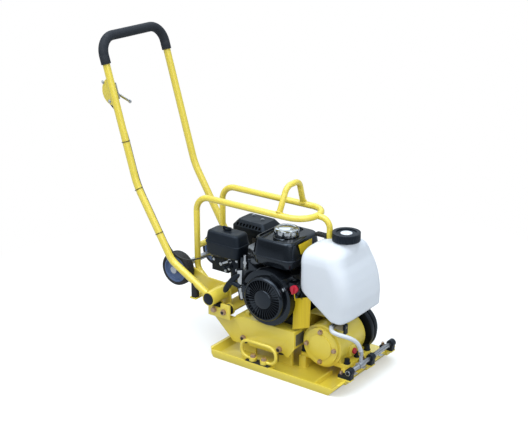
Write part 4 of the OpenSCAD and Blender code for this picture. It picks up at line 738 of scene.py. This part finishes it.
# starter grip: bowed T handle on a tapered neck, rope stub into the recoil cover
starter = {
    "bar": [(-197, -150, 237), (-193, -150, 243), (-183, -150, 260), (-170, -150, 279), (-154, -150, 296),
            (-142, -150, 306), (-136, -150, 310)],
    "thickness": 0.021, "fatness": (0.55, 1.0, 1.0, 0.98, 0.92, 0.75, 0.4),
    "neck": ((-166, -150, 280), (-134, -150, 269)), "neckRadius": 10, "neckTip": 6.5,
    "rope": ((-135, -150, 269.5), (-120, -150, 266)), "ropeRadius": 2.2,
}
gripBar = toMesh(curvePiece("starter_bar", inMetres(starter["bar"]), starter["thickness"], starter["fatness"]))
gripNeck = addRod("starter_neck", *starter["neck"], starter["neckRadius"], tipRadius=starter["neckTip"])
dress(joined("starter_grip_whole", [gripBar, gripNeck]), "starter", "black_plastic", mouldedBlack, "starter_grip")
rope = addRod("starter_rope", starter["rope"][1], starter["rope"][0], starter["ropeRadius"], 16)
choose(rope, "FACE", lambda c, n: True)
bpy.ops.mesh.subdivide(number_cuts=6)
leaveEdit()
dress(rope, None, "rubber", sheathBlack)
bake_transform(rope)
print("starter ready")

# water tank: blow-moulded form, rounded sections stacked upward, cut to its slanted floor and melted soft
waterTank = {  # each section: height, rear x, front x, half width, rear and front corner radius
    "sections": [(190, 70, 255, 117, 22, 58), (238, 70, 255, 117, 22, 56), (278, 70, 254, 117, 22, 50),
                 (310, 70, 248, 117, 23, 46), (340, 70, 240, 116.5, 24, 44), (370, 70, 229, 115.5, 24, 46),
                 (393, 69, 218, 114.5, 22, 50), (410, 69.5, 213, 110, 22, 52), (422, 71.5, 210, 103, 24, 50),
                 (431, 76, 205, 92, 28, 46), (438, 84, 199, 77, 30, 40), (445, 96, 191, 60, 26, 32),
                 (450, 112, 188, 46, 22, 30)],
    "side": [(60, 313, 0), (192, 219, 18), (226, 213, 20), (255, 230, 24), (268, 300, 0), (268, 470, 0),
             (60, 470, 0)],
    "neck": (172, 0), "neckRadius": 38, "neckLow": 420, "neckHigh": 464,
    "grooveFrom": 50, "grooveX": 110, "grooveHalf": 12.5, "grooveLow": 190, "grooveHigh": 480,
    "voxel": 0.003, "relax": 16,
    "disc": [(0, 0), (18.5, 0), (18.5, 1.6), (17, 2.2), (0, 2.2)], "discSeat": 475.9,
}


def sectionRing(level, rear, front, half, rearCorner, frontCorner):
    corners = [(rear, -half, rearCorner), (front, -half, frontCorner), (front, half, frontCorner),
               (rear, half, rearCorner)]
    return [(x, y, level) for x, y in roundOutline(corners, 8)]


def addLoft(name, rings):  # rings of equal count, each pushed up from the one below
    bpy.ops.object.select_all(action="DESELECT")
    bpy.ops.mesh.primitive_circle_add(vertices=len(rings[0]), radius=1, fill_type="NGON")
    piece = bpy.context.active_object
    for vertex, spot in zip(piece.data.vertices, rings[0]):
        vertex.co = Vector(spot) / 1000
    for below, above in zip(rings, rings[1:]):
        rise = (above[0][2] - below[0][2]) / 1000
        choose(piece, "FACE", lambda c, n: abs(c.z - below[0][2] / 1000) < 1e-6)
        bpy.ops.mesh.extrude_region_move(TRANSFORM_OT_translate={"value": (0, 0, rise)})
        leaveEdit()
        for vertex in piece.data.vertices:
            if abs(vertex.co.z - above[0][2] / 1000) < 1e-6:
                gaps = [(vertex.co.x - x / 1000) ** 2 + (vertex.co.y - y / 1000) ** 2 for x, y, z in below]
                vertex.co = Vector(above[gaps.index(min(gaps))]) / 1000
    cleanMesh(piece)
    return settle(piece, name)


tankForm = addLoft("tank_form", [sectionRing(*section) for section in waterTank["sections"]])
carve(tankForm, addPrism("tank_side", roundOutline(waterTank["side"]), "XZ", -130, 130), "INTERSECT")
neckFoot, neckTip = [(*waterTank["neck"], waterTank[end]) for end in ("neckLow", "neckHigh")]
carve(tankForm, addRod("tank_neck", neckFoot, neckTip, waterTank["neckRadius"], 64), "UNION")
grooveX, grooveHalf = waterTank["grooveX"], waterTank["grooveHalf"]
grooveLow, grooveHigh = waterTank["grooveLow"], waterTank["grooveHigh"]
grooveCut = addBlock("tank_groove", (waterTank["grooveFrom"], -grooveHalf, grooveLow),
                     (grooveX, grooveHalf, grooveHigh))
carve(tankForm, grooveCut, "DIFFERENCE")
grooveEnd = addRod("tank_groove_end", (grooveX, 0, grooveLow), (grooveX, 0, grooveHigh), grooveHalf, 48)
carve(tankForm, grooveEnd, "DIFFERENCE")
pickOnly(tankForm)
melt = tankForm.modifiers.new("melt", "REMESH")
melt.mode = "VOXEL"
melt.voxel_size = waterTank["voxel"]
bpy.ops.object.modifier_apply(modifier=melt.name)
relax = tankForm.modifiers.new("relax", "SMOOTH")
relax.factor = 0.5
relax.iterations = waterTank["relax"]
bpy.ops.object.modifier_apply(modifier=relax.name)
bpy.ops.object.shade_smooth()
tankForm.name = "water_tank_moulded"
dress(tankForm, "frame", "white_plastic", milkyHdpe, "water_tank")
capDisc = addLathe("tank_cap_disc", waterTank["disc"], (*waterTank["neck"], waterTank["discSeat"]))
dress(capDisc, "tank_filler_cap", "white_plastic", milkyHdpe)
print("water tank ready")

# bare plate on the deck's front end
deckPlate = {"low": (60.1, -112, 96), "high": (61.2, -66, 136)}
platePlain = addBlock("deck_blank_plate", deckPlate["low"], deckPlate["high"])
dress(roundEdges(platePlain, 0.0004, 1), "frame", "bare_aluminium", castAluminium)

# bent strip beside the starter, its pale face in two lengths
sideStrip = {
    "back": [(-172, 312), (-144, 320), (-140, 262), (-146, 206), (-160, 206), (-172, 262)], "backY": (-118.4, -116),
    "face": [(-167, 307), (-148, 313), (-151, 262), (-165, 258)],
    "tail": [(-165, 254), (-151, 258), (-149, 236), (-146, 212), (-154, 210), (-161, 234)], "faceY": (-119, -118.5),
}
stripBack = addPrism("side_strip_back", sideStrip["back"], "XZ", *sideStrip["backY"])
dress(roundEdges(stripBack, 0.0008, 2), "frame", "black_paint", satinBlack)
stripFace = addPrism("side_strip_blank", sideStrip["face"], "XZ", *sideStrip["faceY"])
stripTail = addPrism("side_strip_tail", sideStrip["tail"], "XZ", *sideStrip["faceY"])
dress(joined("side_strip_blank", [stripFace, stripTail]), "frame", "white_plastic", milkyHdpe)

# plain hang card on its tie, bare patch on the fuel tank, lead below the switch
hangCard = {
    "outline": [(52.6, 262), (117, 285), (113, 178), (48, 154)], "y": (-112.6, -111.8),
    "tie": (85, -112.2, 279), "tieRadius": 9, "tieWire": 0.9,
}
tankPatch = {"outline": [(-80, 432), (-4, 432), (-4, 396), (-66, 396)], "x": (45.5, 46.2)}
leadLine = {"route": [(68, -133, 291), (70, -134, 282), (68, -130, 272), (64, -122, 262)], "diameter": 0.003}
card = addPrism("hang_card", hangCard["outline"], "XZ", *hangCard["y"])
dress(roundEdges(card, 0.0002, 1), "frame", "yellow_paint", flutedYellow)
sideBlank = addPrism("fuel_tank_blank", tankPatch["outline"], "YZ", *tankPatch["x"])
dress(sideBlank, "frame", "yellow_paint", cardYellow)
cardTie = addRing("hang_card_tie", hangCard["tie"], (1, 0, 0), hangCard["tieRadius"], hangCard["tieWire"], 32)
dress(cardTie, "frame", "black_plastic", mouldedBlack)
switchLead = toMesh(curvePiece("switch_lead", inMetres(leadLine["route"]), leadLine["diameter"]))
dress(switchLead, "frame", "yellow_paint", cardYellow)

# throttle plate: two zinc bolts and a pale clamp on the inside of the leg
throttleTrim = {
    "bolts": ((-694, -154.5, 868), (-668, -154.5, 806)),
    "clampLow": (-6, -140.2, -28), "clampHigh": (6, -137.4, 28),
    "clampSpot": (-0.6486, 0, 0.8412), "clampLean": -16.26,
}
for i, spot in enumerate(throttleTrim["bolts"]):
    dress(hexBolt("throttle_plate_bolt_%d" % i, spot, (0, -1, 0), 8, 4, 6), "handle", "zinc_steel", paleZinc)
clampPlate = addBlock("throttle_clamp", throttleTrim["clampLow"], throttleTrim["clampHigh"])
clampLean = Matrix.Rotation(math.radians(throttleTrim["clampLean"]), 4, "Y")
clampPlate.matrix_world = Matrix.Translation(throttleTrim["clampSpot"]) @ clampLean
settle(clampPlate, "throttle_clamp")
dress(roundEdges(clampPlate, 0.0008, 2), "handle", "zinc_steel", paleZinc)

# welds where the lifting hoop meets the cage rails
hoopWeld = {"feet": (((-38, -70, 511), (6, 36, 89)), ((-38, 70, 511), (6, -36, 89))), "radius": 10.6, "wire": 2.2}
for i, (spot, along) in enumerate(hoopWeld["feet"]):
    way = Vector(along).normalized()
    weld = addRing("hoop_weld_%d" % i, Vector(spot) + way * hoopWeld["radius"], way, hoopWeld["radius"],
                   hoopWeld["wire"], 40, 10)
    dress(weld, "frame", "yellow_paint", powderYellow)

# front lip: pale tabs under the sprinkler bar, dark plugs in the bar's ends
frontTrim = {
    "tabs": (-75, -22, 32, 85, 127), "tabHalf": 9, "tabX": (257, 269), "tabZ": (46.1, 47.3),
    "barX": 275.5, "barZ": 77, "plugFrom": 135, "plugTo": 141.8, "plugRadius": 6.4,
}
for i, y in enumerate(frontTrim["tabs"]):
    tabLow, tabHigh = [(x, y + side * frontTrim["tabHalf"], z)
                       for x, side, z in zip(frontTrim["tabX"], (-1, 1), frontTrim["tabZ"])]
    dress(roundEdges(addBlock("lip_tab_%d" % i, tabLow, tabHigh), 0.0004, 1), "frame", "zinc_steel", paleZinc)
for i, side in enumerate((-1, 1)):
    plugFoot, plugTip = [(frontTrim["barX"], side * frontTrim[end], frontTrim["barZ"])
                         for end in ("plugFrom", "plugTo")]
    plug = addRod("bar_plug_%d" % i, plugFoot, plugTip, frontTrim["plugRadius"])
    dress(roundEdges(plug, 0.0006, 2), "frame", "black_plastic", mouldedBlack)

# square pad around the exciter's red plug
padBox = {"low": (205, -36, 74), "high": (219.5, 0, 110)}
plugPad = addBlock("exciter_plug_pad", padBox["low"], padBox["high"])
dress(roundEdges(plugPad, 0.003, 3), "frame", "yellow_paint", powderYellow)

# crimped steel sleeves on the hose ends
hoseSleeves = {
    "ends": (((186, -88.5, 195), (187, -101, 194.2)), ((276.6, -67.5, 128), (275.5, -63, 111))), "radius": 8.3,
}
for i, (foot, tip) in enumerate(hoseSleeves["ends"]):
    sleeve = addRod("hose_sleeve_%d" % i, foot, tip, hoseSleeves["radius"])
    dress(roundEdges(sleeve, 0.0012, 2), "frame", "zinc_steel", drawnSteel)

# dark thread ends in the near bolt heads of the deck flange and the carrier
threadEnds = {"feet": ((3, -127, 74), (-143, -127, 74), (-205, -152, 159)), "reach": 4, "radius": 5.4}
for i, (x, y, z) in enumerate(threadEnds["feet"]):
    stud = addRod("near_stud_%d" % i, (x, y, z), (x, y - threadEnds["reach"], z), threadEnds["radius"])
    dress(roundEdges(stud, 0.0008, 2), "frame", "dark_iron", scaledSteel)

# rubber clip between the front post and the water tank
clipBlock = {"spot": (81, 0), "size": (44, 22), "low": 446, "high": 456, "corner": 5}
postClip = addTub("post_clip", clipBlock["spot"], clipBlock["size"], clipBlock["low"], clipBlock["high"],
                  clipBlock["corner"], topEdge=2, lowEdge=2)
dress(postClip, "frame", "rubber", rubberBlack)

# carburettor: zinc screws on its near faces and under the bowl
carbScrews = ((-212, -104, 298), (-181, -104, 332), (-181, -104, 300), (-228, -103, 288), (-276, -103, 318))
for i, spot in enumerate(carbScrews):
    dress(hexBolt("carburettor_screw_%d" % i, spot, (0, -1, 0), 7, 3.5, 5), "frame", "zinc_steel", paleZinc)
print("trim ready")

# pale floor that keeps the shadow and fades to white further out
floorLook = {
    "size": 30, "fadeFrom": 0.5, "fadeTo": 1.5, "glowNear": 0.35,
    "bounce": (0.46, 0.46, 0.46, 1),  # what the part gets back
    "shown": (0.86, 0.86, 0.86, 1),  # what the picture shows
}
bpy.ops.object.select_all(action="DESELECT")
bpy.ops.mesh.primitive_plane_add(size=floorLook["size"], location=(0, 0, 0))
floor = bpy.context.active_object
floor.name = "studio_floor"
floorMaterial = bpy.data.materials.new("pale_floor")
floorMaterial.use_nodes = True
floorTree = floorMaterial.node_tree
floorTree.nodes.clear()
floorRay = addNode(floorTree, "ShaderNodeLightPath")
floorSpot = addNode(floorTree, "ShaderNodeTexCoord")
floorFar = addNode(floorTree, "ShaderNodeVectorMath", {"operation": "LENGTH"}, i0=floorSpot.outputs["Object"])
floorFade = addNode(floorTree, "ShaderNodeMapRange", i0=floorFar.outputs["Value"], i1=floorLook["fadeFrom"],
                    i2=floorLook["fadeTo"], i3=floorLook["glowNear"], i4=1.0)
floorSeen = addNode(floorTree, "ShaderNodeMath", {"operation": "MULTIPLY"}, i0=floorRay.outputs["Is Camera Ray"],
                    i1=floorFade.outputs[0])
floorTone = addNode(floorTree, "ShaderNodeMix", {"data_type": "RGBA"}, i0=floorRay.outputs["Is Camera Ray"],
                    i6=floorLook["bounce"], i7=floorLook["shown"])
floorDull = addNode(floorTree, "ShaderNodeBsdfDiffuse", Color=floorTone.outputs[2])
floorGlow = addNode(floorTree, "ShaderNodeEmission", Color=(1, 1, 1, 1), Strength=1.0)
floorMix = addNode(floorTree, "ShaderNodeMixShader", Fac=floorSeen.outputs[0], i1=floorDull.outputs[0],
                   i2=floorGlow.outputs[0])
addNode(floorTree, "ShaderNodeOutputMaterial", Surface=floorMix.outputs[0])
floor.data.materials.append(floorMaterial)
